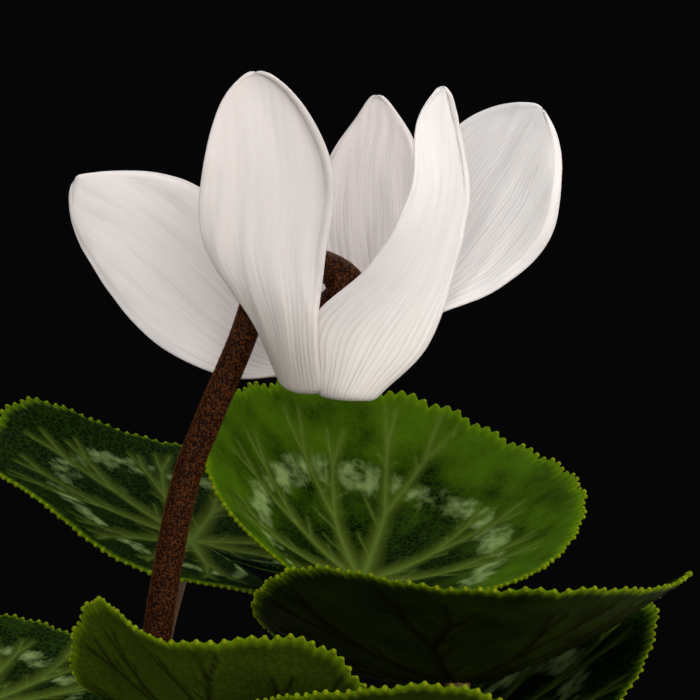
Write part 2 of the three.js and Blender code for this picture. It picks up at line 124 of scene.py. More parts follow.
def new_material(name):
    """A material, and the function that adds a node to it."""
    material = bpy.data.materials.new(name)
    material.use_nodes = True
    return material, functools.partial(add_node, material)


def layered(node, colour, *layers):
    """Lays colours over a colour, each by a share times a strength. A colour is a hex value or a node's."""

    def paint(value):
        return linear(value) if isinstance(value, int) else value

    for share, strength, cover in layers:
        cover_share = share if strength == 1 else node("Math MULTIPLY", share, strength)
        colour = node("Mix", cover_share, paint(colour), paint(cover))
    return colour


def put_in_scene(name, data):
    """An object with this mesh, light or camera."""
    placed = bpy.data.objects.new(name, data)
    bpy.context.scene.collection.objects.link(placed)
    return placed


def piece_of(name, points, faces, material, attributes=(), smooth=True):
    """A piece from points in millimetres and faces, with a value at each point for each named attribute."""
    mesh = bpy.data.meshes.new(name)
    mesh.from_pydata((np.asarray(points) * MM).tolist(), [], faces)
    for label, values in dict(attributes).items():
        mesh.attributes.new(label, "FLOAT", "POINT").data.foreach_set("value", np.asarray(values, np.float32))
    mesh.materials.append(material)
    mesh.polygons.foreach_set("use_smooth", [smooth] * len(mesh.polygons))
    mesh.update()
    return put_in_scene(name, mesh)


def select_only(*pieces):
    """Selects these pieces, the last one active, and nothing else."""
    bpy.ops.object.select_all(action="DESELECT")
    for piece in pieces:
        piece.select_set(True)
        bpy.context.view_layer.objects.active = piece


def turned(name, profile, steps):
    """A body turned about the vertical axis, from a profile of (radius, height) from axis to axis."""
    mesh = bpy.data.meshes.new(name)
    points = [(radius * MM, 0, height * MM) for radius, height in profile]
    mesh.from_pydata(points, [(i, i + 1) for i in range(len(points) - 1)], [])
    piece = put_in_scene(name, mesh)
    select_only(piece)
    bpy.ops.object.mode_set(mode="EDIT")
    bpy.ops.mesh.select_all(action="SELECT")
    bpy.ops.mesh.spin(steps=steps, angle=2 * math.pi, center=(0, 0, 0), axis=(0, 0, 1))
    bpy.ops.mesh.select_all(action="SELECT")
    bpy.ops.mesh.remove_doubles(threshold=0.001 * MM)
    bpy.ops.mesh.normals_make_consistent(inside=False)
    bpy.ops.object.mode_set(mode="OBJECT")
    return piece


def rounded(profile, radius, steps=4):
    """The profile with each corner off the axis rounded to a radius, or less where a side is short."""
    result = [profile[0]]
    for before, corner, after in zip(profile, profile[1:], profile[2:]):
        corner = Vector(corner)
        back = Vector(before) - corner
        on = Vector(after) - corner
        reach = min(radius, 0.45 * back.length, 0.45 * on.length)
        start = corner + back.normalized() * reach
        end = corner + on.normalized() * reach
        for i in range(steps + 1):
            t = i / steps
            result.append(tuple(start * (1 - t) ** 2 + corner * (2 * t * (1 - t)) + end * t**2))
    result.append(profile[-1])
    return result


pot_profile = [
    (0, 0),
    (POT_FOOT_RADIUS, 0),
    (body_top_radius, body_top),
    (POT_RIM_RADIUS, body_top + POT_EDGE),
    (POT_RIM_RADIUS, POT_HEIGHT),
    (inner_radius(body_top), POT_HEIGHT),
    (inner_radius(body_top), body_top),
    (inner_radius(POT_FLOOR), POT_FLOOR),
    (0, POT_FLOOR),
]
pot = turned("flower_pot", rounded(pot_profile, POT_EDGE), POT_ROUND)
for drain in range(DRAINS):
    turn = 2 * math.pi * (drain + 0.5) / DRAINS
    select_only()
    bpy.ops.mesh.primitive_cylinder_add(
        vertices=DRAIN_SIDES,
        radius=DRAIN_RADIUS * MM,
        depth=4 * POT_FLOOR * MM,
        location=(DRAIN_CIRCLE * math.cos(turn) * MM, DRAIN_CIRCLE * math.sin(turn) * MM, 0),
    )
    drill = bpy.context.object
    cut = pot.modifiers.new("drain", "BOOLEAN")
    cut.operation = "DIFFERENCE"
    cut.object = drill
    select_only(pot)
    bpy.ops.object.modifier_apply(modifier=cut.name)
    bpy.data.objects.remove(drill)
bpy.ops.object.shade_smooth_by_angle(angle=SHARP_EDGE)

# Glazed stoneware. A satin slate-grey glaze, slightly pooled and pitted, with faint throwing rings under it.
slate_glaze, node = new_material("slate_glazed_stoneware")
place = node("TexCoord")
height = node("SeparateXYZ", place)
clouds = node("TexNoise", place, 1 / (14 * MM), 4)
freckles = node("TexNoise", place, 1 / (1.1 * MM), 2)
# The glaze is thin, and browner, in a band of about a millimetre at the lip and at the collar's lower edge.
from_lip = node("Math SUBTRACT", height, POT_HEIGHT * MM)
from_collar = node("Math ABSOLUTE", node("Math SUBTRACT", height, (body_top + POT_EDGE) * MM))
thin = node(
    "Math MAXIMUM",
    node("MapRange", from_lip, -2.2 * MM, -0.2 * MM),
    node("MapRange", from_collar, 1.3 * MM, 0.2 * MM),
)
# Throwing rings about 2.6 mm apart, and dimples of the same size.
rings = node("TexWave", place, 0.12 / MM, 0.6, 1, 0.3, output=1, bands_direction="Z")
dimples = node("TexNoise", place, 1 / (2.6 * MM), 1)
node(
    "Shader",
    Base_Color=layered(
        node,
        0x333B44,
        (clouds, 1, 0x525C66),
        (node("MapRange", freckles, 0.62, 0.74, 0, 0.55), 1, 0x23282E),
        (thin, clouds, 0x9A8468),
    ),
    Roughness=node("MapRange", clouds, 0, 1, 0.32, 0.46),
    Coat_Weight=0.25,
    Coat_Roughness=0.25,
    Normal=node("Bump", node("Math ADD", rings, dimples), 0.35, 0.25 * MM),
)
pot.data.materials.append(slate_glaze)
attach(pot, "root")
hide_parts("pot")


# ---------------------------------------- potting soil
# Dark peat-based potting soil, filled in loose and pressed down round the corm. Its top is a crust of crumbs,
# with short fibres and a few white grains of perlite. It is one body with the soil down to the pot's floor.

SOIL_LEVEL = 77
SOIL_LUMP = 1.1
SOIL_GRAIN = [(0.9, 6.0, 3), (0.55, 2.4, 5), (0.3, 1.1, 8)]  # height, size and seed of each finer layer
SOIL_RINGS = 46
SOIL_ROUND = 150
SOIL_GAP = 0.3  # between the soil and the pot
CRUMBS = 900
CRUMB_SIZE = (0.5, 1.5)
CRUMB_SINK = 0.25  # how far a crumb's middle lies over the soil, as a share of its size
PERLITE = 70
PERLITE_SIZE = (0.6, 1.3)
PERLITE_SINK = 0.3
CLEAR_OF_POT = 1.5


def wobble(points, size, seed=0.0):
    """Smooth noise of about -1 to 1 at each point in millimetres, with features of a size."""
    shift = Vector((seed, 2.3 * seed, -1.7 * seed))
    return np.array([noise.noise(Vector(p) / size + shift) for p in np.asarray(points, float)])


def soil_height(x, y):
    """The lumpy top of the soil."""
    lump = np.sin(0.31 * x + 1.7) * np.cos(0.27 * y) + 0.6 * np.sin(0.55 * y + 0.41 * x)
    flat = np.stack([x, y, 0 * x], -1)
    grain = sum(height * wobble(flat, size, seed) for height, size, seed in SOIL_GRAIN)
    return SOIL_LEVEL + SOIL_LUMP * lump + grain


def ring_faces(first, rings, around, inward=False):
    """The faces between rings of points, from point `first` on, with `around` points to a ring."""
    faces = []
    for near in range(first, first + rings * around, around):
        for k in range(around):
            on = (k + 1) % around
            face = (near + k, near + on, near + around + on, near + around + k)
            faces.append((face[0], *face[:0:-1]) if inward else face)
    return faces


soil_edge = inner_radius(SOIL_LEVEL) - SOIL_GAP
soil_floor = POT_FLOOR + SOIL_GAP
soil_turn = 2 * np.pi * np.arange(SOIL_ROUND) / SOIL_ROUND
soil_points = [np.array([[0, 0, SOIL_LEVEL]])]
for ring in range(1, SOIL_RINGS + 1):
    across = soil_edge * ring / SOIL_RINGS
    x, y = across * np.cos(soil_turn), across * np.sin(soil_turn)
    soil_points.append(np.stack([x, y, soil_height(x, y)], -1))
low_radius = inner_radius(soil_floor) - SOIL_GAP
x, y = low_radius * np.cos(soil_turn), low_radius * np.sin(soil_turn)
soil_points += [np.stack([x, y, 0 * x + soil_floor], -1), np.array([[0, 0, soil_floor]])]
last = 1 + SOIL_RINGS * SOIL_ROUND
soil_faces = [(0, 1 + k, 1 + (k + 1) % SOIL_ROUND) for k in range(SOIL_ROUND)]
soil_faces += ring_faces(1, SOIL_RINGS, SOIL_ROUND, inward=True)
soil_faces += [(last + SOIL_ROUND, last + (k + 1) % SOIL_ROUND, last + k) for k in range(SOIL_ROUND)]


def simple_ball(make, **settings):
    """Points and faces of a small ball, which is then copied many times."""
    ball = bmesh.new()
    make(ball, radius=1, **settings)
    points = np.array([v.co for v in ball.verts])
    faces = [[v.index for v in f.verts] for f in ball.faces]
    ball.free()
    return points, faces


# Crumbs and perlite: one rough lump, copied by a seeded rule over the soil's top.
lump_points, lump_faces = simple_ball(bmesh.ops.create_icosphere, subdivisions=1)


def scattered(rng, count, sizes, sink):
    """Rough lumps scattered over the soil: their points and faces."""
    points, faces = [], []
    for i in range(count):
        size = rng.uniform(*sizes)
        out = (soil_edge - CLEAR_OF_POT) * math.sqrt(rng.uniform(0.16, 1))
        turn = rng.uniform(0, 2 * math.pi)
        x, y = out * math.cos(turn), out * math.sin(turn)
        shape = lump_points * rng.uniform(0.75, 1.2, (len(lump_points), 1)) * rng.uniform(0.6, 1.2, 3)
        middle = [x, y, float(soil_height(np.array([x]), np.array([y]))[0]) + sink * size]
        faces += [[v + i * len(lump_points) for v in face] for face in lump_faces]
        tumbled, _ = np.linalg.qr(rng.normal(size=(3, 3)))  # a random rotation, or its mirror image
        points.append(shape @ (tumbled * np.sign(np.linalg.det(tumbled))) * size + middle)
    return np.concatenate(points), faces


# Moist peat: nearly black brown, rough and dull, with paler fibres. Only its grit catches a little light.
peat, node = new_material("moist_peat_soil")
place = node("TexCoord")
patches = node("TexNoise", place, 1 / (7 * MM), 5)
grit = node("TexNoise", place, 1 / (0.7 * MM), 4)
fibres = node("MapRange", grit, 0.56, 0.72)
node(
    "Shader",
    Base_Color=layered(node, 0x1B130D, (patches, 1, 0x3E2C1F), (fibres, 1, 0x6B4E36)),
    Roughness=0.92,
    Normal=node("Bump", grit, 0.8, 0.4 * MM),
)

# Expanded perlite: chalky white volcanic glass, full of tiny bubbles, a little stained by the peat.
perlite_white, node = new_material("expanded_perlite")
place = node("TexCoord")
stain = node("TexNoise", place, 1 / (3 * MM), 2)
bubbles = node("TexVoronoi", place, 1 / (0.45 * MM))
node(
    "Shader",
    Base_Color=layered(node, 0xE3DED3, (stain, 1, 0x9C8F7C)),
    Roughness=0.8,
    Normal=node("Bump", bubbles, 0.5, 0.15 * MM),
)

rng = np.random.default_rng(4)
crumb_shapes = scattered(rng, CRUMBS, CRUMB_SIZE, CRUMB_SINK)
perlite_shapes = scattered(rng, PERLITE, PERLITE_SIZE, PERLITE_SINK)
for piece in (
    piece_of("soil", np.concatenate(soil_points), soil_faces, peat),
    piece_of("soil_crumbs", *crumb_shapes, peat, smooth=False),
    piece_of("perlite_grains", *perlite_shapes, perlite_white, smooth=False),
):
    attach(piece, "root")
    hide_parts("potting_soil")


# ---------------------------------------- corm
# The corm is the plant's store, a flattened woody ball half sunk in the soil. It has a cracked, corky brown
# skin, and a flat crown with the scars of old stalks, where every stalk of the rosette grows from.

CORM_RADIUS = 21
CORM_HEIGHT = 25
CORM_CROWN = 85.5
CORM_CROWN_RADIUS = 15
CORM_SEGMENTS = 112
CORM_RINGS = 72

select_only()
bpy.ops.mesh.primitive_uv_sphere_add(segments=CORM_SEGMENTS, ring_count=CORM_RINGS, radius=1)
corm = bpy.context.object
corm.name = "corky_corm"
ball = np.array([v.co for v in corm.data.vertices])
shaped = ball * [CORM_RADIUS, CORM_RADIUS, CORM_HEIGHT / 2]
shaped[ball[:, 2] > 0, 2] /= math.sqrt(1 - (CORM_CROWN_RADIUS / CORM_RADIUS) ** 2)
shaped[:, 2] = np.minimum(shaped[:, 2], CORM_HEIGHT / 2)
cracks = 0.5 * wobble(shaped, 5.0, 1) + 0.3 * wobble(shaped * [1, 1, 2.5], 1.8, 2)
shaped += ball * (cracks - 0.35)[:, None]
shaped[:, 2] += CORM_CROWN - CORM_HEIGHT / 2
corm.data.vertices.foreach_set("co", (shaped * MM).ravel())
corm.data.polygons.foreach_set("use_smooth", [True] * len(corm.data.polygons))

# Cork bark: dull reddish brown, cracked into small plates, darker in the cracks.
cork, node = new_material("corky_corm_skin")
stretched = node("Mapping", node("TexCoord"), Scale=(1, 1, 2.2))
plates = node("TexVoronoi", stretched, 1 / (3.2 * MM), feature="DISTANCE_TO_EDGE")
plate = node("MapRange", plates, 0, 0.12)
fine_cork = node("TexNoise", stretched, 1 / (0.9 * MM), 4)
node(
    "Shader",
    Base_Color=layered(node, 0x25170F, (plate, 1, layered(node, 0x4A2F20, (fine_cork, 1, 0x8A6546)))),
    Roughness=0.85,
    Normal=node("Bump", node("Math ADD", plate, fine_cork), 0.7, 0.3 * MM),
)
corm.data.materials.append(cork)
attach(corm, "root")
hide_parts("corm")


# ---------------------------------------- leaf blades
# Each leaf is one round, leathery blade that grew in one piece, with a deep notch at its stalk. Its margin
# has shallow lobes and small bead-like teeth. Veins spread from the stalk and fork. The upper side is deep
# green with silver marks, and the under side olive and dull.

LEAF_THICKNESS = 0.6
LEAF_LOBES = 32
LOBE_DEPTH = 0.009
LEAF_TEETH = 128
TOOTH_DEPTH = 0.008
BEAD_RADIUS = 0.31
NOTCH_FREE = 2.75  # angle from the leaf's tip, in radians, past which the margin has no beads
VEIN_WIDTH = 0.019  # half width of a main vein at the stalk, as a share of the leaf's size
VEIN_SINK = 0.22  # how deep the veins lie in the upper side
PUFF = 0.42  # how far the blade swells between the veins
PUFF_REACH = 2.6  # and how far from a vein it has swollen
MARGIN_WIDTH = 1.5
ZONE_MIDDLE = 0.63  # where the silver zone lies, as a share of the way to the margin
ZONE_WIDTH = 0.1
LEAF_RINGS = [(96, 13), (192, 15), (384, 36)]  # points to a ring and number of rings, from the stalk out
FAR_LEAF_RINGS = [(48, 7), (96, 8), (192, 18)]
MAIN_VEINS = [0, 36, -36, 74, -74, 114, -114, 142, -142]  # degrees from the leaf's middle line
VEIN_LENGTH = (0.38, 0.5)  # of a main vein up to its first fork, as a share of the way to the margin
VEIN_STEPS = 5
SHOWN_LEAVES = 7

# The seven leaves that show in the front view. `at` is the top of the stalk, and the angles are in degrees.
# `ring` is how far from the corm's middle the stalk starts. `tone` is 0 on a dark leaf and 1 on a fresh one.
LEAVES = [
    dict(at=(30.5, 31.5, 150.5), heading=79, pitch=12, roll=16, size=33, cup=0.41, droop=0.04, fold=0.25,
         wave=0.6, waves=5, phase=1, ring=5, tone=0.6),
    dict(at=(6.7, 54, 152.6), heading=150, pitch=22, roll=-1, size=31.7, cup=0.14, droop=0.03, fold=0.03,
         wave=1.7, waves=5, phase=2, ring=5, tone=0.05),
    dict(at=(42.5, 0, 143), heading=-70, pitch=19, roll=-4, size=34.5, cup=0.19, droop=0.08, fold=0.27,
         wave=0.7, waves=6, phase=1.35, ring=6, tone=0.05),
    dict(at=(17.5, -38, 140.7), heading=-114, pitch=30, roll=-6, size=27.5, cup=0.22, droop=-0.03, fold=0.05,
         wave=3, waves=5, phase=-1.57, ring=6, tone=0.95),
    dict(at=(-18.5, -0.3, 139.5), heading=157, pitch=5, roll=-11, size=29.7, cup=0.07, droop=0.03, fold=0.06,
         wave=0.5, waves=5, phase=2, ring=5, tone=0.1),
    dict(at=(36, -49.5, 140.4), heading=-85, pitch=23, roll=-11, size=28, cup=0.08, droop=-0.08, fold=0,
         wave=0.5, waves=5, phase=0.5, ring=9, tone=0.2),
    dict(at=(41, 14, 130), heading=3, pitch=29, roll=6, size=32, cup=0, droop=-0.13, fold=-0.05,
         wave=0.5, waves=5, phase=0, ring=9, tone=0.1),
]
# Azimuth, reach and height of the lower leaves, and with their size those of the young ones.
LOWER_LEAVES = [(62, 56, 112), (105, 59, 106), (146, 54, 116), (186, 58, 107), (222, 54, 118), (262, 58, 105),
                (305, 57, 103), (345, 60, 106)]
YOUNG_LEAVES = [(122, 33, 124, 24), (196, 26, 104, 19), (246, 31, 128, 24), (338, 26, 104, 17)]


def leaf_round(azimuth, reach, height, turn, **form):
    """A leaf by its place round the plant, turned a little from the middle."""
    side = math.radians(azimuth)
    at = (reach * math.cos(side), reach * math.sin(side), height)
    return dict(at=at, heading=azimuth + turn, **form)


for i, place in enumerate(LOWER_LEAVES):
    LEAVES.append(
        leaf_round(*place, 12 * math.sin(2.1 * i), pitch=-14 + 6 * math.sin(1.3 * i + 1),
                   roll=6 * math.sin(1.9 * i), size=29 + 2 * math.sin(2.7 * i), cup=0.08, droop=0.12,
                   fold=0.05, wave=1, waves=5, phase=i, ring=12, tone=0.5 + 0.4 * math.sin(5.1 * i))
    )
for i, (*place, size) in enumerate(YOUNG_LEAVES):
    LEAVES.append(
        leaf_round(*place, 10 * math.sin(1.7 * i + 2), pitch=4 + 3 * math.sin(2.3 * i),
                   roll=5 * math.sin(1.1 * i + 1), size=size, cup=0.13, droop=0.05, fold=0.06, wave=0.8,
                   waves=4, phase=2 * i, ring=8.5, tone=0.8)
    )


def edge_share(angle):
    """How far the lobed margin lies from the stalk, as a share of the leaf's size."""
    body = 0.8 + 0.16 * np.cos(angle) + 0.04 * np.cos(2 * angle)
    tip = 0.05 * np.exp(-((angle / 0.25) ** 2))
    notch = 1 - 0.86 * np.exp(-(((np.pi - np.abs(angle)) / 0.24) ** 2))
    lobe = 2 * np.abs(np.sin(angle * LEAF_LOBES / 2)) - 1
    tooth = 2 * np.abs(np.sin(angle * LEAF_TEETH / 2)) ** 0.8 - 1
    return (body + tip) * notch * (1 + LOBE_DEPTH * lobe + TOOTH_DEPTH * tooth)


def open_edges(faces):
    """The edges that only one face has, each in its face's direction."""
    edges = {(face[i - 1], face[i]) for face in faces for i in range(len(face))}
    return [(a, b) for a, b in edges if (b, a) not in edges]


def ring_sheet(layout):
    """A round sheet of rings about a middle: each point's angle and share, the faces and the open edges."""
    counts = [count for count, rings in layout for _ in range(rings)]
    angles, shares, faces, start = [[0.0]], [[0.0]], [], 1
    for ring, count in enumerate(counts):
        angles.append(-np.pi + 2 * np.pi * np.arange(count) / count)
        shares.append(np.full(count, (ring + 1) / len(counts)))
        before = counts[ring - 1] if ring else 0
        for k in range(before or count):
            inner, inner_on = start - before + k, start - before + (k + 1) % (before or count)
            if not before:
                faces.append((0, start + k, start + (k + 1) % count))
            elif before == count:
                faces.append((inner, start + k, start + (k + 1) % count, inner_on))
            else:
                outer = [start + (2 * k + j) % count for j in range(3)]
                faces += [(inner, outer[0], outer[1]), (inner, outer[1], inner_on), (inner_on, *outer[1:])]
        start += count
    return np.concatenate(angles), np.concatenate(shares), faces, open_edges(faces)


def unit(vectors):
    """Vectors in rows, brought to a length of 1."""
    return vectors / np.linalg.norm(vectors, axis=1, keepdims=True)


def shell(points, faces, edges, thickness):
    """A closed thin body round an open sheet: its points, with the lower side's second, and its faces."""
    normals = np.zeros_like(points)
    for count in (3, 4):
        group = np.array([face for face in faces if len(face) == count], int).reshape(-1, count)
        corner = points[group]
        if count == 3:
            normal = np.cross(corner[:, 1] - corner[:, 0], corner[:, 2] - corner[:, 0])
        else:
            normal = np.cross(corner[:, 2] - corner[:, 0], corner[:, 3] - corner[:, 1])
        for k in range(count):
            np.add.at(normals, group[:, k], normal)
    half = unit(normals) * (np.asarray(thickness) / 2)[:, None]
    below = len(points)
    under = [tuple(i + below for i in reversed(face)) for face in faces]
    band = [(b, a, a + below, b + below) for a, b in edges]
    return np.concatenate([points + half, points - half]), [*faces, *under, *band]


def leaf_frame(leaf):
    """The leaf's own directions: towards its tip, to its left and up from its face."""
    heading, pitch, roll = (math.radians(leaf[key]) for key in ("heading", "pitch", "roll"))
    tipward = np.array(
        [math.cos(heading) * math.cos(pitch), math.sin(heading) * math.cos(pitch), math.sin(pitch)]
    )
    level = np.array([-math.sin(heading), math.cos(heading), 0])
    leftward = level * math.cos(roll) + np.cross(tipward, level) * math.sin(roll)
    return tipward, leftward, np.cross(tipward, leftward)


def vein_lines(seed):
    """A leaf's veins as straight stretches: start, end and half width, as shares of the leaf's size."""
    rng = np.random.default_rng(seed)
    stretches = []

    def grow(start, heading, length, width, forks):
        bend = rng.normal(0, 0.05)
        for step in range(VEIN_STEPS):
            heading += bend / VEIN_STEPS
            end = start + length / VEIN_STEPS * np.array([math.cos(heading), math.sin(heading)])
            stretches.append((start, end, width * (1 - 0.07 * step)))
            start = end
            if forks and step in (1, 3):
                side = heading + rng.choice([-1, 1]) * rng.uniform(0.5, 0.9)
                grow(end, side, rng.uniform(0.2, 0.4) * length, 0.4 * width, 0)
        if forks:
            for side in (-1, 1):
                forked = heading + side * rng.uniform(0.12, 0.34)
                grow(start, forked, length * rng.uniform(0.5, 0.72), width * 0.72, forks - 1)

    for angle in np.radians(MAIN_VEINS):
        reach = float(edge_share(np.array(angle)))
        grow(np.zeros(2), angle + rng.normal(0, 0.08), rng.uniform(*VEIN_LENGTH) * reach, VEIN_WIDTH, 2)
    return stretches


def vein_share(flat, stretches):
    """At each flat point: 1 on a vein's middle line and 0 clear of it, and how far the nearest vein is."""
    on_vein = np.zeros(len(flat))
    nearest = np.full(len(flat), 9.0)
    for start, end, width in stretches:
        along = end - start
        share = np.clip((flat - start) @ along / (along @ along), 0, 1)
        distance = np.linalg.norm(flat - start - share[:, None] * along, axis=1)
        on_vein = np.maximum(on_vein, np.exp(-((distance / width) ** 2)))
        nearest = np.minimum(nearest, distance + 0.07 * (VEIN_WIDTH - width) / VEIN_WIDTH)
    return on_vein, nearest


# One tooth's bead, a few faces of a ball.
bead_points, bead_faces = simple_ball(bmesh.ops.create_uvsphere, u_segments=7, v_segments=5)


def leaf_piece(name, leaf, sheet, seed, material):
    """A whole blade with its veins, lobes and teeth."""
    angles, shares, faces, edges = sheet
    tipward, leftward, up = leaf_frame(leaf)
    size = leaf["size"]
    directions = np.stack([np.cos(angles), np.sin(angles)], -1)
    on_vein, from_vein = vein_share((edge_share(angles) * shares)[:, None] * directions, vein_lines(seed))

    def surface(angle, share, relief):
        reach = edge_share(angle) * share
        x, y = reach * np.cos(angle) * size, reach * np.sin(angle) * size
        lift = leaf["cup"] * reach**2 * size - leaf["droop"] * (x / size) * np.abs(x)
        lift += leaf["fold"] * np.abs(y) ** 1.3 / size**0.3
        lift += leaf["wave"] * reach**3 * np.sin(leaf["waves"] * angle + leaf["phase"])
        lift += relief
        return np.array(leaf["at"]) + np.outer(x, tipward) + np.outer(y, leftward) + np.outer(lift, up)

    inside = ease((1 - shares) * 9)  # 0 on the margin
    puff = PUFF * (1 - np.exp(-((from_vein * size / PUFF_REACH) ** 2))) * inside
    relief = puff - VEIN_SINK * on_vein * inside
    rounding = np.sqrt(np.clip((1 - shares) * 18, 0, 1))
    thickness = LEAF_THICKNESS * (0.3 + 0.7 * rounding)
    points, faces = shell(surface(angles, shares, relief), faces, edges, thickness)

    # The beads sit on the tip of each tooth, all round but in the notch.
    teeth = -np.pi + 2 * np.pi * (np.arange(LEAF_TEETH) + 0.5) / LEAF_TEETH
    teeth = teeth[np.abs(teeth) < NOTCH_FREE]
    tips = surface(teeth, np.full(len(teeth), 0.995), 0)
    growth = 0.75 + 0.45 * np.random.default_rng(seed + 50).random(len(tips))
    beads = (tips[:, None, :] + bead_points[None] * (BEAD_RADIUS * growth)[:, None, None]).reshape(-1, 3)
    firsts = range(len(points), len(points) + len(beads), len(bead_points))
    bead_sides = [[v + first for v in face] for first in firsts for face in bead_faces]

    def at_points(above, below, on_beads):
        return np.concatenate([above + 0 * shares, below + 0 * shares, np.full(len(beads), on_beads)])

    margin = ease(1 - (1 - shares) * size / MARGIN_WIDTH)
    zone = np.exp(-(((shares - ZONE_MIDDLE) / ZONE_WIDTH) ** 2))
    attributes = {
        "vein": at_points(on_vein, on_vein, 0),
        "from_vein": at_points(from_vein * size, from_vein * size, 9),
        "margin": at_points(margin, margin, 1),
        "bead": at_points(0, 0, 1),
        "underside": at_points(0, 1, 0),
        "zone": at_points(zone, zone, 0),
        "share": at_points(shares, shares, 1),
        "tone": at_points(leaf["tone"], leaf["tone"], leaf["tone"]),
    }
    return piece_of(name, np.concatenate([points, beads]), [*faces, *bead_sides], material, attributes)


# A living leaf with a waxy skin. Deep green above, with pale veins and a broken silver zone where the skin
# stands clear of the green tissue, and a brighter yellow-green margin. Olive below, with darker veins.
blade_green, node = new_material("cyclamen_leaf_skin")
place = node("TexCoord")
vein, from_vein, margin, bead, underside, zone, share, tone = (
    node("Attribute", attribute_name=name)
    for name in ("vein", "from_vein", "margin", "bead", "underside", "zone", "share", "tone")
)
# Net of the finest veins, in uneven meshes of about 1 mm.
bends = node("TexNoise", place, 1 / (1.6 * MM), 2, output=1)
warped = node("VectorMath ADD", place, node("VectorMath SCALE", bends, Scale=0.9 * MM))
net = node("TexVoronoi", warped, 1 / (0.95 * MM), feature="DISTANCE_TO_EDGE")
net_line = node("MapRange", net, 0, 0.13, 1, 0)
mottle = node("TexNoise", place, 1 / (6 * MM), 4)
flecks = node("TexNoise", place, 1 / (1.9 * MM), 3)
toned = node("Math ADD", mottle, tone)
fresh = node("MapRange", toned, 0.3, 1.5)
# The middle of the blade is nearly black, and its outer half a fresher green: partly the leaf's own darker
# middle, partly painted shade on the middle of the blade near its stalk.
outer = node("MapRange", node("Math ADD", share, toned), 1.45, 2.15, interpolation_type="SMOOTHSTEP")
# Silver zone: between the veins, broken up by noise.
broken = node("Math MULTIPLY", zone, node("MapRange", from_vein, 0.8, 2.2))
for noise_value in (flecks, mottle):
    broken = node("Math MULTIPLY", broken, noise_value)
silver = node("MapRange", broken, 0.14, 0.32, 0, 0.85)
upper = layered(
    node,
    0x081401,
    (outer, 1, layered(node, 0x182802, (fresh, 1, 0x44640A))),
    (net_line, 0.16, 0x446E14),
    (node("MapRange", from_vein, 2.4, 0.6), 0.75, 0x50601C),
    (silver, 1, 0x7E9458),
    (vein, 0.4, 0x647C34),
    (margin, 0.7, 0x5A7A04),
)
lower = layered(
    node,
    0x121A05,
    (fresh, 1, 0x3A4A0C),
    (net_line, 0.4, 0x141A06),
    (vein, 0.85, 0x120D04),
    (margin, 0.6, 0x6E8A08),
)
bead_green = layered(node, 0x8CA414, (flecks, 1, 0x56500E))
leaf_relief = node("Math ADD", node("Math MULTIPLY", net_line, -0.6), flecks)
node(
    "Shader",
    Base_Color=layered(node, upper, (underside, 1, lower), (bead, 1, bead_green)),
    Roughness=node("MapRange", flecks, 0, 1, 0.5, 0.66),
    Specular_IOR_Level=0.004,
    Subsurface_Weight=0.1,
    Subsurface_Radius=(0.6, 1.0, 0.3),
    Subsurface_Scale=0.6 * MM,
    Normal=node("Bump", leaf_relief, 0.35, 0.1 * MM),
)

near_sheet, far_sheet = ring_sheet(LEAF_RINGS), ring_sheet(FAR_LEAF_RINGS)
for i, leaf in enumerate(LEAVES):
    sheet = near_sheet if i < SHOWN_LEAVES else far_sheet
    blade = leaf_piece(f"blade_{i + 1:02d}", leaf, sheet, i + 1, blade_green)
    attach(blade, "root")
    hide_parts(f"leaf_{i + 1:02d}_blade")


# ---------------------------------------- leaf stalks
# Each blade stands on a fleshy, rust-brown stalk that rises from the corm's crown and meets the blade at its
# notch. It is a little thicker at its foot, where it grew from the corm.

PETIOLE_RADIUS = 1.4
PETIOLE_SIDES = 18
PETIOLE_STEPS = 36


def round_stalk(middles, radii, sides):
    """A closed round stalk along a line of middles: its points and faces."""
    tangents = unit(np.gradient(middles, axis=0))
    side = np.cross(tangents[0], [0.0, 1.0, 0.1])
    points = []
    turn = 2 * np.pi * np.arange(sides) / sides
    for middle, tangent, radius in zip(middles, tangents, radii):
        side = side - (side @ tangent) * tangent
        side /= np.linalg.norm(side)
        other = np.cross(tangent, side)
        points.append(middle + radius * (np.outer(np.cos(turn), side) + np.outer(np.sin(turn), other)))
    top = (len(middles) - 1) * sides
    faces = ring_faces(0, len(middles) - 1, sides)
    faces += [tuple(reversed(range(sides))), tuple(range(top, top + sides))]
    return np.concatenate(points), faces


def handle_weights(t):
    """What each of a curve's four handles counts at t, from 0 at its start to 1 at its end."""
    return (1 - t) ** 3, 3 * t * (1 - t) ** 2, 3 * t**2 * (1 - t), t**3


def petiole_piece(name, leaf, material):
    """The stalk of one leaf, from the crown of the corm to the under side of its blade."""
    up = leaf_frame(leaf)[2]
    end = np.array(leaf["at"]) - up * LEAF_THICKNESS / 2
    side = math.atan2(leaf["at"][1], leaf["at"][0])
    start = np.array([leaf["ring"] * math.cos(side), leaf["ring"] * math.sin(side), CORM_CROWN - 0.5])
    rise = end[2] - start[2]
    handles = [start, start + [0, 0, 0.55 * rise], end - up * 0.3 * rise, end]
    t = np.linspace(0, 1, PETIOLE_STEPS + 1)[:, None]
    middles = sum(weight * handle for weight, handle in zip(handle_weights(t), handles))
    share = t[:, 0]
    radii = PETIOLE_RADIUS * (0.94 + 0.5 * np.exp(-share / 0.05) + 0.25 * np.exp(-(1 - share) / 0.03))
    points, faces = round_stalk(middles, radii, PETIOLE_SIDES)
    return piece_of(name, points, faces, material, {"share": np.repeat(share, PETIOLE_SIDES)})


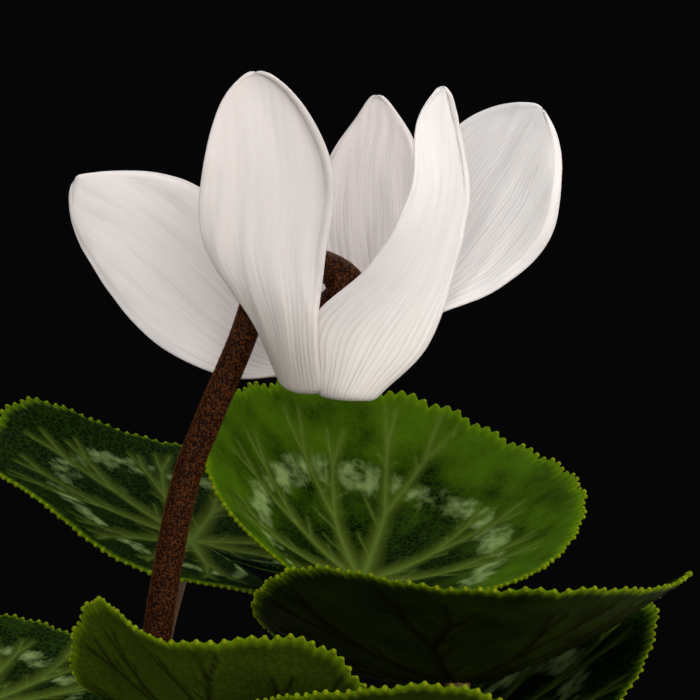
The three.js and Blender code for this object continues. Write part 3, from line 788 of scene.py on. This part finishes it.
# Fleshy stalk skin: rust-brown, greener towards the blade, with a bloom of minute glands that dulls it.
petiole_skin, node = new_material("leaf_stalk_skin")
place = node("TexCoord")
streaks = node("TexNoise", place, 1 / (4 * MM), 3)
near_blade = node("MapRange", node("Attribute", attribute_name="share"), 0.55, 1)
glands = node("MapRange", node("TexVoronoi", place, 1 / (0.42 * MM)), 0.35, 0.1, 0, 0.4)
node(
    "Shader",
    Base_Color=layered(
        node, 0x5A2E1E, (streaks, 1, 0x8A5238), (near_blade, 0.55, 0x6B6A38), (glands, 1, 0xB98A6C)
    ),
    Roughness=0.55,
    Subsurface_Weight=0.08,
    Subsurface_Scale=0.8 * MM,
    Normal=node("Bump", glands, 0.6, 0.1 * MM),
)
for i, leaf in enumerate(LEAVES):
    petiole = petiole_piece(f"leaf_stalk_{i + 1:02d}", leaf, petiole_skin)
    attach(petiole, "root")
    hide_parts(f"leaf_{i + 1:02d}_petiole")


# ---------------------------------------- the flower's own directions
# The flower hangs from the hook of its stalk with its mouth down. Its axis runs from the mouth up to the
# petals' tips, and leans to the left and to the front.

THROAT = np.array([29.5, 0, 185])
TILT_LEFT = math.radians(8)
TILT_FRONT = math.radians(13)
THROAT_RADIUS = 5.4
TUBE_RADIUS = 5.9
TUBE_HEIGHT = 7.2
TUBE_WIDEST = 2  # height of its widest place

level = math.cos(TILT_FRONT)
axis = np.array([-math.sin(TILT_LEFT) * level, -math.sin(TILT_FRONT), math.cos(TILT_LEFT) * level])
right = np.array([math.cos(TILT_LEFT), 0, math.sin(TILT_LEFT)])
away = np.cross(axis, right)


def in_tube(radius, angle, height):
    """Points of the flower's tube, by distance from its axis, angle round it and height over the throat."""
    points = THROAT
    lengths = height, radius * np.cos(angle), radius * np.sin(angle)
    for length, direction in zip(lengths, (axis, right, away)):
        points = points + np.asarray(length)[..., None] * direction
    return points


# ---------------------------------------- flower stalk and calyx
# The stalk is fleshy and rust-brown, covered in short blunt glandular hairs, their tips painted pale as a
# painted glint. It rises from the corm, hooks over inside the crown of petals and widens into the calyx,
# a cup of five pointed sepals.

STALK_ROUTE = [
    (0, 0, 85.0), (0.1, 0, 96), (0.8, 0, 112), (2.6, 0, 132), (5.4, 0, 153.6), (8.6, -0.2, 169.3),
    (11.3, -0.3, 176.3), (15.6, -0.4, 186.6), (17.5, -0.4, 191.9), (19.3, -0.5, 194.4), (21.8, -0.8, 195.9),
    (24.6, -1.2, 196.1), (26.8, -1.6, 195.2), (28.1, -1.8, 193.9), (28.5, -1.7, 192.7),
]
STALK_STEPS = 420
STALK_BOTTOM_RADIUS = 1.95
STALK_TOP_RADIUS = 1.65
STALK_FOOT_SWELL = 0.9  # how much thicker it is where it leaves the corm
STALK_CALYX_SWELL = 1.5  # and where it widens into the calyx
STALK_SIDES = 28
HAIR_SPACING = 0.21
HAIR_RADIUS = 0.075
HAIR_LENGTH = 0.15
HAIR_ROOT = 0.03  # how deep a hair sits in the skin
FIRST_HAIR_ROW = 3
BARE_END = 1.5  # length at the top end, inside the calyx, without hairs
SEPAL_COVER = 42
SEPAL_POINT = 28
SEPAL_THICKNESS = 0.6
SEPAL_CLEARANCE = 0.65  # from the middle of the tube's wall to the sepals
SEPAL_RINGS = [(40, 6), (80, 16)]


def spline_at(points, places):
    """Points of a smooth curve through these points. Place 0 is the first of them, 1 the second, and so on.
    Points that lie close together get a shorter stretch of it, which keeps it from overshooting."""
    points = np.array(points, float)
    points = np.concatenate([[2 * points[0] - points[1]], points, [2 * points[-1] - points[-2]]])
    line = []
    for place in places:
        i = min(int(place), len(points) - 4)
        a, b, c, d = points[i:i + 4]
        knots = np.cumsum([0] + [np.linalg.norm(q - p) ** 0.5 for p, q in ((a, b), (b, c), (c, d))])
        t = knots[1] + (knots[2] - knots[1]) * (place - i)

        def mix(p, q, first, last):
            return ((knots[last] - t) * p + (t - knots[first]) * q) / (knots[last] - knots[first])

        near, on, far = mix(a, b, 0, 1), mix(b, c, 1, 2), mix(c, d, 2, 3)
        line.append(mix(mix(near, on, 0, 2), mix(on, far, 1, 3), 1, 2))
    return np.array(line)


def run_along(line):
    """How far each point of a line lies from its first point, along it."""
    return np.concatenate([[0], np.cumsum(np.linalg.norm(np.diff(line, axis=0), axis=1))])


def between(first, second, part):
    """A place between two, by its part of the way."""
    return first * (1 - part) + second * part


route = spline_at(STALK_ROUTE, np.linspace(0, len(STALK_ROUTE) - 1, 24 * len(STALK_ROUTE)))
route_run = run_along(route)
stalk_length = route_run[-1]
even_run = np.linspace(0, stalk_length, STALK_STEPS + 1)
stalk_middles = np.stack([np.interp(even_run, route_run, route[:, k]) for k in range(3)], -1)
stalk_share = np.linspace(0, 1, STALK_STEPS + 1)
stalk_radii = STALK_BOTTOM_RADIUS + (STALK_TOP_RADIUS - STALK_BOTTOM_RADIUS) * stalk_share
stalk_radii += STALK_FOOT_SWELL * np.exp(-stalk_share / 0.012)
stalk_radii += STALK_CALYX_SWELL * np.exp(-(1 - stalk_share) / 0.016)
stalk_points, stalk_faces = round_stalk(stalk_middles, stalk_radii, STALK_SIDES)

# Hairs: one short blunt three-sided papilla, copied by a seeded rule round the stalk. Real ones are finer yet
# and closer.
hair_turn = 2 * np.pi * np.arange(3) / 3
hair_shape = np.array([(math.cos(t), math.sin(t), 0.0) for t in hair_turn] + [(0, 0, 1.0)])
hair_faces = np.array([(0, 1, 3), (1, 2, 3), (2, 0, 3), (2, 1, 0)])
rng = np.random.default_rng(12)
hair_rows = np.arange(FIRST_HAIR_ROW, int((stalk_length - BARE_END) / HAIR_SPACING))
per_row = int(2 * math.pi * STALK_BOTTOM_RADIUS / HAIR_SPACING)
row_grid, turn_grid = (grid.ravel() for grid in np.meshgrid(hair_rows, np.arange(per_row)))
hairs = len(row_grid)
place_along = (row_grid + rng.uniform(-0.4, 0.4, hairs)) * HAIR_SPACING / stalk_length * STALK_STEPS
low_row = place_along.astype(int)
part = (place_along - low_row)[:, None]
spot = (turn_grid + 0.5 * (row_grid % 2) + rng.uniform(-0.35, 0.35, hairs)) / per_row * STALK_SIDES
low_side = np.floor(spot).astype(int) % STALK_SIDES
beside = (spot - np.floor(spot))[:, None]
stalk_grid = stalk_points.reshape(STALK_STEPS + 1, STALK_SIDES, 3)


def on_stalk(row):
    return between(stalk_grid[row, low_side], stalk_grid[row, (low_side + 1) % STALK_SIDES], beside)


hair_roots = between(on_stalk(low_row), on_stalk(low_row + 1), part)
hair_out = unit(hair_roots - between(stalk_middles[low_row], stalk_middles[low_row + 1], part))
hair_out = unit(hair_out + 0.3 * rng.normal(size=(hairs, 3)))
hair_side = unit(np.cross(stalk_middles[low_row + 1] - stalk_middles[low_row], hair_out))
hair_size = rng.uniform(0.6, 1.2, (hairs, 1, 1))
hair_points = (hair_roots - HAIR_ROOT * hair_out)[:, None]
for k, (reach, direction) in enumerate(
    ((HAIR_RADIUS, hair_side), (HAIR_RADIUS, np.cross(hair_out, hair_side)), (HAIR_LENGTH, hair_out))
):
    hair_points = hair_points + hair_size * reach * hair_shape[None, :, k:k + 1] * direction[:, None]
hair_points = hair_points.reshape(-1, 3)
hair_firsts = len(stalk_points) + 4 * np.arange(hairs)
hair_sides = (hair_firsts[:, None, None] + hair_faces[None]).reshape(-1, 3).tolist()

# The calyx, on the tube's closed end.
sepal_angles, sepal_shares, sepal_faces, sepal_edges = ring_sheet(SEPAL_RINGS)
sepal_reach = SEPAL_CLEARANCE + SEPAL_THICKNESS / 2
sepal_polar = np.radians(SEPAL_COVER + SEPAL_POINT * np.abs(np.cos(2.5 * sepal_angles)) ** 1.6) * sepal_shares
sepal_sheet = in_tube(
    (TUBE_RADIUS + sepal_reach) * np.sin(sepal_polar),
    sepal_angles,
    TUBE_WIDEST + (TUBE_HEIGHT - TUBE_WIDEST + sepal_reach) * np.cos(sepal_polar),
)
sepal_wall = SEPAL_THICKNESS * (1.2 - sepal_shares)
sepal_points, sepal_sides = shell(sepal_sheet, sepal_faces, sepal_edges, sepal_wall)
before_sepals = len(stalk_points) + len(hair_points)
stalk_faces += hair_sides + [tuple(v + before_sepals for v in face) for face in sepal_sides]
bare_stalk, bare_sepals = np.zeros(len(stalk_points)), np.zeros(len(sepal_points))
hair_share = np.concatenate([bare_stalk, np.tile(hair_shape[:, 2], hairs), bare_sepals])

# Fleshy stalk skin under glandular hairs: a fine mosaic of dark maroon and warm brown, about 0.2 mm a cell
# and drawn at 0.3 mm. The hair tips are painted paler, a painted glint for the light they catch, and they
# rim the stalk in orange-brown.
hairy_skin, node = new_material("hairy_flower_stalk")
place = node("TexCoord")
blotches = node("TexNoise", place, 1 / (2.5 * MM), 3)
mosaic = node("TexNoise", place, 1 / (0.3 * MM), 2, Roughness=0.7)
warm = node("MapRange", mosaic, 0.48, 0.6)
dark_skin = layered(node, 0x0E0301, (blotches, 1, 0x1A0702))
warm_skin = layered(node, 0x4A2206, (blotches, 1, 0x5C300C))
hair_up = node("MapRange", node("Attribute", attribute_name="hair"), 0.15, 1)
# The hairs' own dark brown, with a painted glint of pale orange towards their tips.
hair_colour_and_glint = layered(node, 0x1E0B04, (warm, 1, 0xA87240))
node(
    "Shader",
    Base_Color=layered(node, dark_skin, (warm, 1, warm_skin), (hair_up, 0.8, hair_colour_and_glint)),
    Roughness=0.6,
    Specular_IOR_Level=0.08,
    Sheen_Weight=0.14,
    Sheen_Roughness=0.35,
    Sheen_Tint=linear(0xC8702E),
    Subsurface_Weight=0.08,
    Subsurface_Scale=0.4 * MM,
    Normal=node("Bump", mosaic, 0.5, 0.1 * MM),
)
all_points = np.concatenate([stalk_points, hair_points, sepal_points])
stalk = piece_of("flower_stalk", all_points, stalk_faces, hairy_skin, {"hair": hair_share})
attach(stalk, "root")
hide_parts("flower_stem")


# ---------------------------------------- petals and tube
# The corolla grew as one piece: a short globe-shaped tube with five petals, each turned back at the throat so
# that it stands up, twisted a little. They are thin, soft and white, with fine veins from throat to tip.

# Each petal leaves the throat over an arc about `root`, in degrees round the tube. `low` and `high` are
# points on its two edges from the fold to the tip, in millimetres from the throat's middle. `belly` is how
# far its middle stands out from between its edges at the fold and at the tip, `fold` how wide it turns,
# `curl` how far each edge lips forward, and for the high edge also how dark the painted shade inside its lip
# is, `ruffle` how far the edges wave, `veined` how clear its veins are higher up, and `grey` how far its
# colour is painted darker than pure white: a painted shade for how much light each petal gets.
PETALS = [
    dict(root=54, fold=2.7, belly=(1.5, 0.6), curl=(0.2, 0.2), ruffle=0.12, veined=0.75, grey=0.7,
         low=[(7.5, 3.5, 0.5), (10.5, 8.5, 8), (10.5, 12.5, 16), (9, 15, 22), (6.5, 17, 27.5)],
         tip=(3, 18.5, 31),
         high=[(0, 8.5, -1), (-4.5, 12, 6.5), (-6, 15, 14.5), (-4.5, 17, 20.5), (0, 18.5, 28)]),
    dict(root=126, fold=2.7, belly=(0.9, -0.9), curl=(0.5, 0.3), ruffle=0.2, veined=0.35, grey=0.5,
         low=[(-0.5, 8, -1), (-7.5, 12, 7), (-14.5, 13.5, 16), (-23, 13, 21), (-33, 11, 21.5)],
         tip=(-35.5, 10, 20.5),
         high=[(-9, 3, -3.5), (-15.5, 4.5, -4), (-25, 7.5, 0), (-32.5, 9.5, 8.5), (-36, 10, 16)]),
    dict(root=198, fold=2.3, belly=(1.5, -1.8), curl=(0.2, 1.1), ruffle=0.08, veined=0.22, grey=0.55,
         low=[(-9.5, -1, -3), (-12.5, -4.5, 4), (-18.5, -8, 14), (-18.5, -10, 23), (-15.5, -10, 32.5)],
         tip=(-12, -9.5, 35),
         high=[(-4, -7.8, -3.5), (-4.5, -10, 3.5), (-3.5, -10, 12), (-2.5, -10, 23), (-7.5, -9.5, 32.5)]),
    dict(root=270, fold=3.5, belly=(1.9, 0.8), curl=(0.2, 0.7), ruffle=0.1, veined=0.25, grey=0,
         low=[(-5, -6.8, -3), (-5.5, -8.5, 4), (2, -13.5, 12), (6.5, -17.5, 21), (7.5, -18, 29.5)],
         tip=(10.5, -16.5, 33.5),
         high=[(3.5, -7, -4.5), (9, -5.5, 1), (12.5, -5, 11.5), (13.5, -7.5, 20.5), (12, -12.5, 29.5)]),
    dict(root=342, fold=2.3, belly=(0.6, -0.8), curl=(0.5, 0.3), ruffle=0.28, veined=0.85, grey=0,
         low=[(4.5, -6.5, -3), (9, -1.5, 3.5), (18.5, 0.5, 8), (24.5, 0, 14.5), (25.5, 0, 23)],
         tip=(23.5, 1, 30),
         high=[(8, 3, 0.5), (8, 6.5, 9), (9, 8.5, 19), (13, 7.5, 27.5), (18.5, 4.5, 30.5)]),
]
PETAL_THICKNESS = 0.5
PETAL_COLUMNS = 84
FOLD_ROWS = 16
BLADE_ROWS = 84
TUBE_ROWS = 14
TUBE_LENGTH = 12  # along its wall, from the closed end to the throat
TUBE_TURN = 1.25  # how far the tube's wall goes round, where 1 is its widest place
TUBE_GREY = 0.4
LIP_FOOT = 0.86  # where the lip of an edge starts, as a share of half the petal's width
PETAL_END = 0.993  # share of the way to the tip where the last row of points lies
PETAL_CROWD = 1.5  # how much the rows crowd towards the tip
VEINS = 18  # main veins of a petal
VEIN_RELIEF = 0.028  # height of the ribs between the veins at a petal's foot
SWELL = 0.28  # height of the broad soft swellings along a petal
PETAL_ARC = math.radians(36)  # half of the arc that a petal takes of the throat

columns = np.linspace(-1, 1, PETAL_COLUMNS + 1)  # from a petal's low edge to its high edge


def petal_rows(petal, seed):
    """A petal's rows of points past the throat, and how far along it each lies, in mm and as a share."""
    edge = [THROAT + np.array(point) for point in (*petal["low"], petal["tip"], *reversed(petal["high"]))]
    pairs = len(petal["low"])
    share = PETAL_END * (1 - (1 - np.linspace(0, 1, BLADE_ROWS + 1)) ** PETAL_CROWD)
    low, high = spline_at(edge, pairs * share), spline_at(edge, pairs * (2 - share))
    middle = (low + high) / 2
    out = unit(np.cross(high - low, np.gradient(middle, axis=0)))
    run = run_along(middle)
    share_grid, t_grid = np.meshgrid(share, columns, indexing="ij")
    run_grid = run[:, None] + 0 * t_grid
    width_grid = np.linalg.norm(high - low, axis=1)[:, None] + 0 * t_grid
    foot, top = petal["belly"]
    lift = (foot + (top - foot) * ease(share_grid)) * (1 - share_grid**4) * (1 - t_grid**2)
    # The edges lip forward and wave, the blade swells softly between the veins, and ribs show at its foot.
    for side, curl in zip((-1, 1), petal["curl"]):
        lip = curl * ease((side * t_grid - LIP_FOOT) / 0.08) * ease((share_grid - 0.25) / 0.4)
        lift += lip * ease((1 - share_grid) / 0.09)
    wave = np.sin(run_grid / 1.15 + 2.5 * np.sin(run_grid / 5 + seed) + t_grid)
    lift += petal["ruffle"] * wave * ease((np.abs(t_grid) - 0.55) / 0.45) * ease((share_grid - 0.3) / 0.3)
    flat = np.stack([t_grid * width_grid / 2 / 2.2, run_grid / 13, 0 * t_grid], -1).reshape(-1, 3)
    swell = wobble(flat, 1.0, seed).reshape(t_grid.shape)
    fine = wobble(flat * [2.6, 2.2, 1], 1.0, seed + 7).reshape(t_grid.shape)
    lift += SWELL * (swell + 0.35 * fine) * ease(share_grid / 0.25) * ease((1 - share_grid) / 0.2)
    ribs = np.cos(np.pi * VEINS * (t_grid + 0.03 * swell))
    lift += VEIN_RELIEF * ribs * ease(share_grid / 0.06) * (0.15 + 0.85 * ease((0.5 - share_grid) / 0.5))
    to_high = t_grid[..., None]
    blade = low[:, None] * (1 - to_high) / 2 + high[:, None] * (1 + to_high) / 2
    blade += lift[..., None] * out[:, None]
    # The fold: from the throat down, round and up to the blade's foot.
    start = in_tube(THROAT_RADIUS, math.radians(petal["root"]) + PETAL_ARC * columns, 0)
    upward = unit(blade[1] - blade[0])
    handles = [start, start - petal["fold"] * axis, blade[0] - petal["fold"] * upward, blade[0]]
    steps = [i / FOLD_ROWS for i in range(1, FOLD_ROWS)]
    fold = [sum(weight * handle for weight, handle in zip(handle_weights(step), handles)) for step in steps]
    fold_length = np.linalg.norm(np.diff([start, *fold, blade[0]], axis=0), axis=2).sum(0).mean()
    runs = [fold_length * i / FOLD_ROWS for i in range(1, FOLD_ROWS)] + list(fold_length + run)
    return [*fold, *blade], runs, [0.0] * len(fold) + list(share)


corolla_points, corolla_faces = [], []
petal_values = {name: [] for name in ("across", "along", "share", "clear", "grey", "shade")}


def add_row(points, **values):
    """A row of points of the corolla, with each named value on all of them or along the row."""
    corolla_points.append(points)
    for name, value in values.items():
        petal_values[name].append(np.broadcast_to(np.asarray(value, float), len(points)))


# The tube, from the middle of its closed end down to the throat.
throat_arc = np.concatenate([math.radians(petal["root"]) + PETAL_ARC * columns[:-1] for petal in PETALS])
around = len(throat_arc)
tube_plain = dict(share=0, clear=0, grey=TUBE_GREY, shade=0)
tube_top = TUBE_HEIGHT - PETAL_THICKNESS / 2
add_row(in_tube(0, 0, tube_top)[None], across=0, along=-TUBE_LENGTH, **tube_plain)
for row in range(1, TUBE_ROWS + 1):
    polar = np.pi / 2 * row / TUBE_ROWS * TUBE_TURN
    if polar < np.pi / 2:
        radius = TUBE_RADIUS * math.sin(polar)
        height = TUBE_WIDEST + (tube_top - TUBE_WIDEST) * math.cos(polar)
    else:
        height = TUBE_WIDEST * (1 - (polar / (np.pi / 2) - 1) / (TUBE_TURN - 1))
        radius = THROAT_RADIUS + (TUBE_RADIUS - THROAT_RADIUS) * float(ease(height / TUBE_WIDEST))
    to_throat = TUBE_LENGTH * (1 - row / TUBE_ROWS)
    count_across = np.arange(around) * 2 / PETAL_COLUMNS
    add_row(in_tube(radius, throat_arc, height), across=count_across, along=-to_throat, **tube_plain)
corolla_faces += [(0, 1 + (k + 1) % around, 1 + k) for k in range(around)]
corolla_faces += ring_faces(1, TUBE_ROWS - 1, around)
throat_first = 1 + (TUBE_ROWS - 1) * around
used = 1 + TUBE_ROWS * around
for i, petal in enumerate(PETALS):
    previous = [throat_first + (i * PETAL_COLUMNS + k) % around for k in range(PETAL_COLUMNS + 1)]
    for points, run, share in zip(*petal_rows(petal, i)):
        this = [used + k for k in range(PETAL_COLUMNS + 1)]
        corolla_faces += zip(previous, previous[1:], this[1:], this)
        previous = this
        used += PETAL_COLUMNS + 1
        higher = float(ease(share / 0.5))
        # `shade` is painted shade: darkest in the hollow just inside the high edge's lip, as if the lip
        # shadowed it, and stronger towards the tip.
        from_lip = columns - LIP_FOOT
        by_lip = np.exp(-((from_lip / np.where(from_lip < 0, 0.05 + 0.25 * share**4, 0.04)) ** 2))
        add_row(
            points,
            across=2 * i + np.linspace(0, 2, PETAL_COLUMNS + 1),
            along=run,
            share=share,
            clear=(1 - higher + petal["veined"] * higher) * (1 - 0.6 * share),
            grey=petal["grey"],
            shade=petal["curl"][1] * by_lip * float(ease((share - 0.35) / 0.45)),
        )
petal_values = {name: np.concatenate(rows) for name, rows in petal_values.items()}
across = petal_values["across"]
from_edge = 1 - np.abs(across % 2 - 1)
from_edge[across >= 2 * len(PETALS)] = 0
from_edge[petal_values["along"] < 2] = 1
from_edge = np.minimum(from_edge, 2.5 * (1 - petal_values["share"]))
petal_values["from_edge"] = from_edge
petal_wall = PETAL_THICKNESS * (0.35 + 0.65 * ease(from_edge / 0.12))
corolla_sheet = np.concatenate(corolla_points)
shell_points, shell_faces = shell(corolla_sheet, corolla_faces, open_edges(corolla_faces), petal_wall)

# Petal tissue: soft white, a little see-through, velvety from the small cells of its skin. Fine grey-pink
# veins run along it, close at the foot and about 1 mm apart in the blade, fork, and fade towards the tip.
petal_white, node = new_material("white_petal_tissue")
place = node("TexCoord")
across, along, share, clear, grey, shade, from_edge = (
    node("Attribute", attribute_name=name) for name in petal_values
)
# Noise that changes from vein to vein, and slowly along each.
by_vein = node(
    "CombineXYZ", node("Math MULTIPLY", across, VEINS * 0.4), node("Math MULTIPLY", along, 0.09)
)
drift = node("TexNoise", by_vein, 1, 2)
uneven = node("MapRange", node("TexNoise", by_vein, 0.8, 1, Distortion=0.6), 0.3, 0.7, 0.25, 1)
swayed = node("Math ADD", node("Math MULTIPLY", across, VEINS / 2), drift)
line_width = node("MapRange", along, 0, 26, 0.24, 0.12)


def vein_line(shift):
    """Thin lines, one for each whole number of the drifting count across the petal."""
    part = node("Math FRACT", node("Math ADD", swayed, shift))
    off = node("Math ABSOLUTE", node("Math ADD", part, -0.5))
    return node("MapRange", off, line_width, 0, interpolation_type="SMOOTHSTEP")


forks = vein_line(node("MapRange", along, 12, 24, 0, 0.5))
forks = node("Math MULTIPLY", forks, node("MapRange", along, 11, 16, 0, 0.7))
all_veins = node("Math MULTIPLY", node("Math MAXIMUM", vein_line(0.0), forks), uneven)
all_veins = node("Math MULTIPLY", all_veins, clear)
cloud = node("TexNoise", place, 1 / (11 * MM), 3)
# Towards the petals' foot the colour turns warmer and darker: partly the tissue's own warmer tone, partly
# painted shade where the foot lies in shade.
foot = node("MapRange", along, 21, -1)
rim = node("MapRange", from_edge, 0.04, 0, 0, 0.3)
before_tip = node("MapRange", share, 0.9, 0.8)
# The skin's cells, about 0.1 mm, drawn at 0.25 mm so that they show as a velvety grain.
cells = node("TexNoise", place, 1 / (0.25 * MM), 1)
petal_relief = node("Math SUBTRACT", node("Math MULTIPLY", cells, 0.25), all_veins)
node(
    "Shader",
    Base_Color=layered(
        node,
        0xF2EDEB,
        (cloud, 1, 0xFBF8F7),
        # painted shade: each petal is greyed by its own `grey`, for how much light falls on it; the tube is
        # greyed by TUBE_GREY
        (grey, 1, 0xD8CFCC),
        (foot, 0.75, 0xD6CDBE),
        (all_veins, 0.5, 0x9C8C8A),
        (shade, 0.42, 0x8C8580),  # painted shade in the hollow inside a lip, where the lip would shadow the blade
        (rim, before_tip, 0xDCC6CB),
    ),
    Roughness=0.6,
    Specular_IOR_Level=0.3,
    Subsurface_Weight=0.3,
    Subsurface_Radius=(1.0, 0.85, 0.75),
    Subsurface_Scale=1.0 * MM,
    Sheen_Weight=0.12,
    Sheen_Roughness=0.4,
    Normal=node("Bump", petal_relief, 0.45, 0.1 * MM),
)
both_sides = {name: np.tile(values, 2) for name, values in petal_values.items()}
corolla = piece_of("petals_and_tube", shell_points, shell_faces, petal_white, both_sides)
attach(corolla, "root")
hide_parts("corolla")


# ---------------------------------------- anthers and style
# Five dart-shaped anthers stand close together in a cone inside the tube, round the style, whose tip just
# reaches the mouth. They are yellow, dusted with pollen, with purple-brown backs.

ANTHER_LENGTH = 6.4
ANTHER_SEAT = 1.4  # from the tube's closed end down to the anthers
ANTHER_RADIUS = 2.4
STYLE_RADIUS = 0.45
STYLE_LENGTH = 2.2
ANTHER_STEPS = 22
ANTHER_SIDES = 40

anther_base = TUBE_HEIGHT - ANTHER_SEAT
turn = 2 * np.pi * np.arange(ANTHER_SIDES) / ANTHER_SIDES
cone_points, cone_backs = [], []
for i in range(ANTHER_STEPS + 1):
    share = i / ANTHER_STEPS
    swell = math.sin(math.pi * (0.14 + 0.36 * min(1, (1 - share) * 1.9))) * (1 - share**3) + 0.2
    lobes = 1 - 0.17 * np.abs(np.cos(2.5 * turn)) ** 8 * min(1, share * 6)
    radius = ANTHER_RADIUS * swell / 1.2 * lobes
    cone_points.append(in_tube(radius, turn, anther_base - ANTHER_LENGTH * share))
    cone_backs.append(np.abs(np.sin(2.5 * turn)) ** 3)
for share, radius in ((0.0, 1), (0.5, 1), (0.9, 1), (1.0, 0.6)):
    below = ANTHER_LENGTH + STYLE_LENGTH * share
    cone_points.append(in_tube(STYLE_RADIUS * radius, turn, anther_base - below))
    cone_backs.append(np.zeros(ANTHER_SIDES))
cone_last = (len(cone_points) - 1) * ANTHER_SIDES
cone_faces = ring_faces(0, len(cone_points) - 1, ANTHER_SIDES, inward=True)
cone_faces += [tuple(range(ANTHER_SIDES)), tuple(reversed(range(cone_last, cone_last + ANTHER_SIDES)))]

# Anther skin: matt yellow with loose pollen grains, and a purple-brown stain on the back of each anther.
pollen, node = new_material("pollen_dusted_anther")
back = node("Attribute", attribute_name="back")
grains = node("TexNoise", node("TexCoord"), 1 / (0.22 * MM), 2)
node(
    "Shader",
    Base_Color=layered(node, 0xB58A2E, (grains, 1, 0xE6C766), (back, 0.55, 0x5E3140)),
    Roughness=0.85,
    Normal=node("Bump", grains, 0.7, 0.12 * MM),
)
cone_values = {"back": np.concatenate(cone_backs)}
anthers = piece_of("anthers_and_style", np.concatenate(cone_points), cone_faces, pollen, cone_values)
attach(anthers, "root")
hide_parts("anther_cone")


# ---------------------------------------- floor, light and camera
# A pale round table top, large soft studio lights, and a long lens near the flower's height.

FLOOR_RADIUS = 0.6  # this section's sizes and places are in metres
FLOWER_MIDDLE = Vector((0.029, 0, 0.185))
CAMERA_DISTANCE = 0.5
CAMERA_RISE = math.radians(6)
CAMERA_LENS = 205.7
SURROUND = 0x060607
# Place, width and power of each soft box, and the colour of its light.
SOFT_LIGHTS = {
    "key_light": ((0.1, -0.85, 0.55), 0.8, 6.0, 0xFFFCFA),
    "side_light": ((0.85, -0.35, 0.35), 0.6, 4.6, 0xFFF8F2),
    "left_light": ((-0.75, -0.55, 0.5), 0.8, 1.6, 0xFFFFFF),
    "back_light": ((0.1, 0.6, 0.95), 0.6, 4.5, 0xFFFFFF),
    "top_light": ((0, 0, 1.2), 0.6, 2.8, 0xFFFFFF),
}

select_only()
bpy.ops.mesh.primitive_circle_add(vertices=128, radius=FLOOR_RADIUS, fill_type="NGON", location=(0, 0, 0))
floor = bpy.context.object
floor.name = "studio_floor"
# Plain matt paper, with a faint grain so that it isn't a flat colour.
paper, node = new_material("pale_studio_paper")
paper_grain = node("TexNoise", node("TexCoord"), 1 / (25 * MM), 6)
node("Shader", Base_Color=layered(node, 0xD6D3CE, (paper_grain, 1, 0xDEDBD7)), Roughness=0.8)
floor.data.materials.append(paper)

for name, (place, width, power, colour) in SOFT_LIGHTS.items():
    light = bpy.data.lights.new(name, "AREA")
    light.shape = "SQUARE"
    light.size = width
    light.energy = power
    light.color = linear(colour)[:3]
    box = put_in_scene(name, light)
    box.location = place
    box.rotation_euler = (FLOWER_MIDDLE - Vector(place)).to_track_quat("-Z", "Y").to_euler()

world = bpy.data.worlds.new("dark_studio")
world.use_nodes = True
world.node_tree.nodes["Background"].inputs["Color"].default_value = linear(SURROUND)
bpy.context.scene.world = world
bpy.context.scene.view_settings.view_transform = "Standard"

camera = put_in_scene("camera", bpy.data.cameras.new("camera"))
to_camera = Vector((0, -math.cos(CAMERA_RISE), math.sin(CAMERA_RISE)))
camera.location = FLOWER_MIDDLE + CAMERA_DISTANCE * to_camera
camera.rotation_euler = (math.pi / 2 - CAMERA_RISE, 0, 0)
camera.data.lens = CAMERA_LENS
camera.data.sensor_width = 36
camera.data.clip_start = 0.01
bpy.context.scene.camera = camera
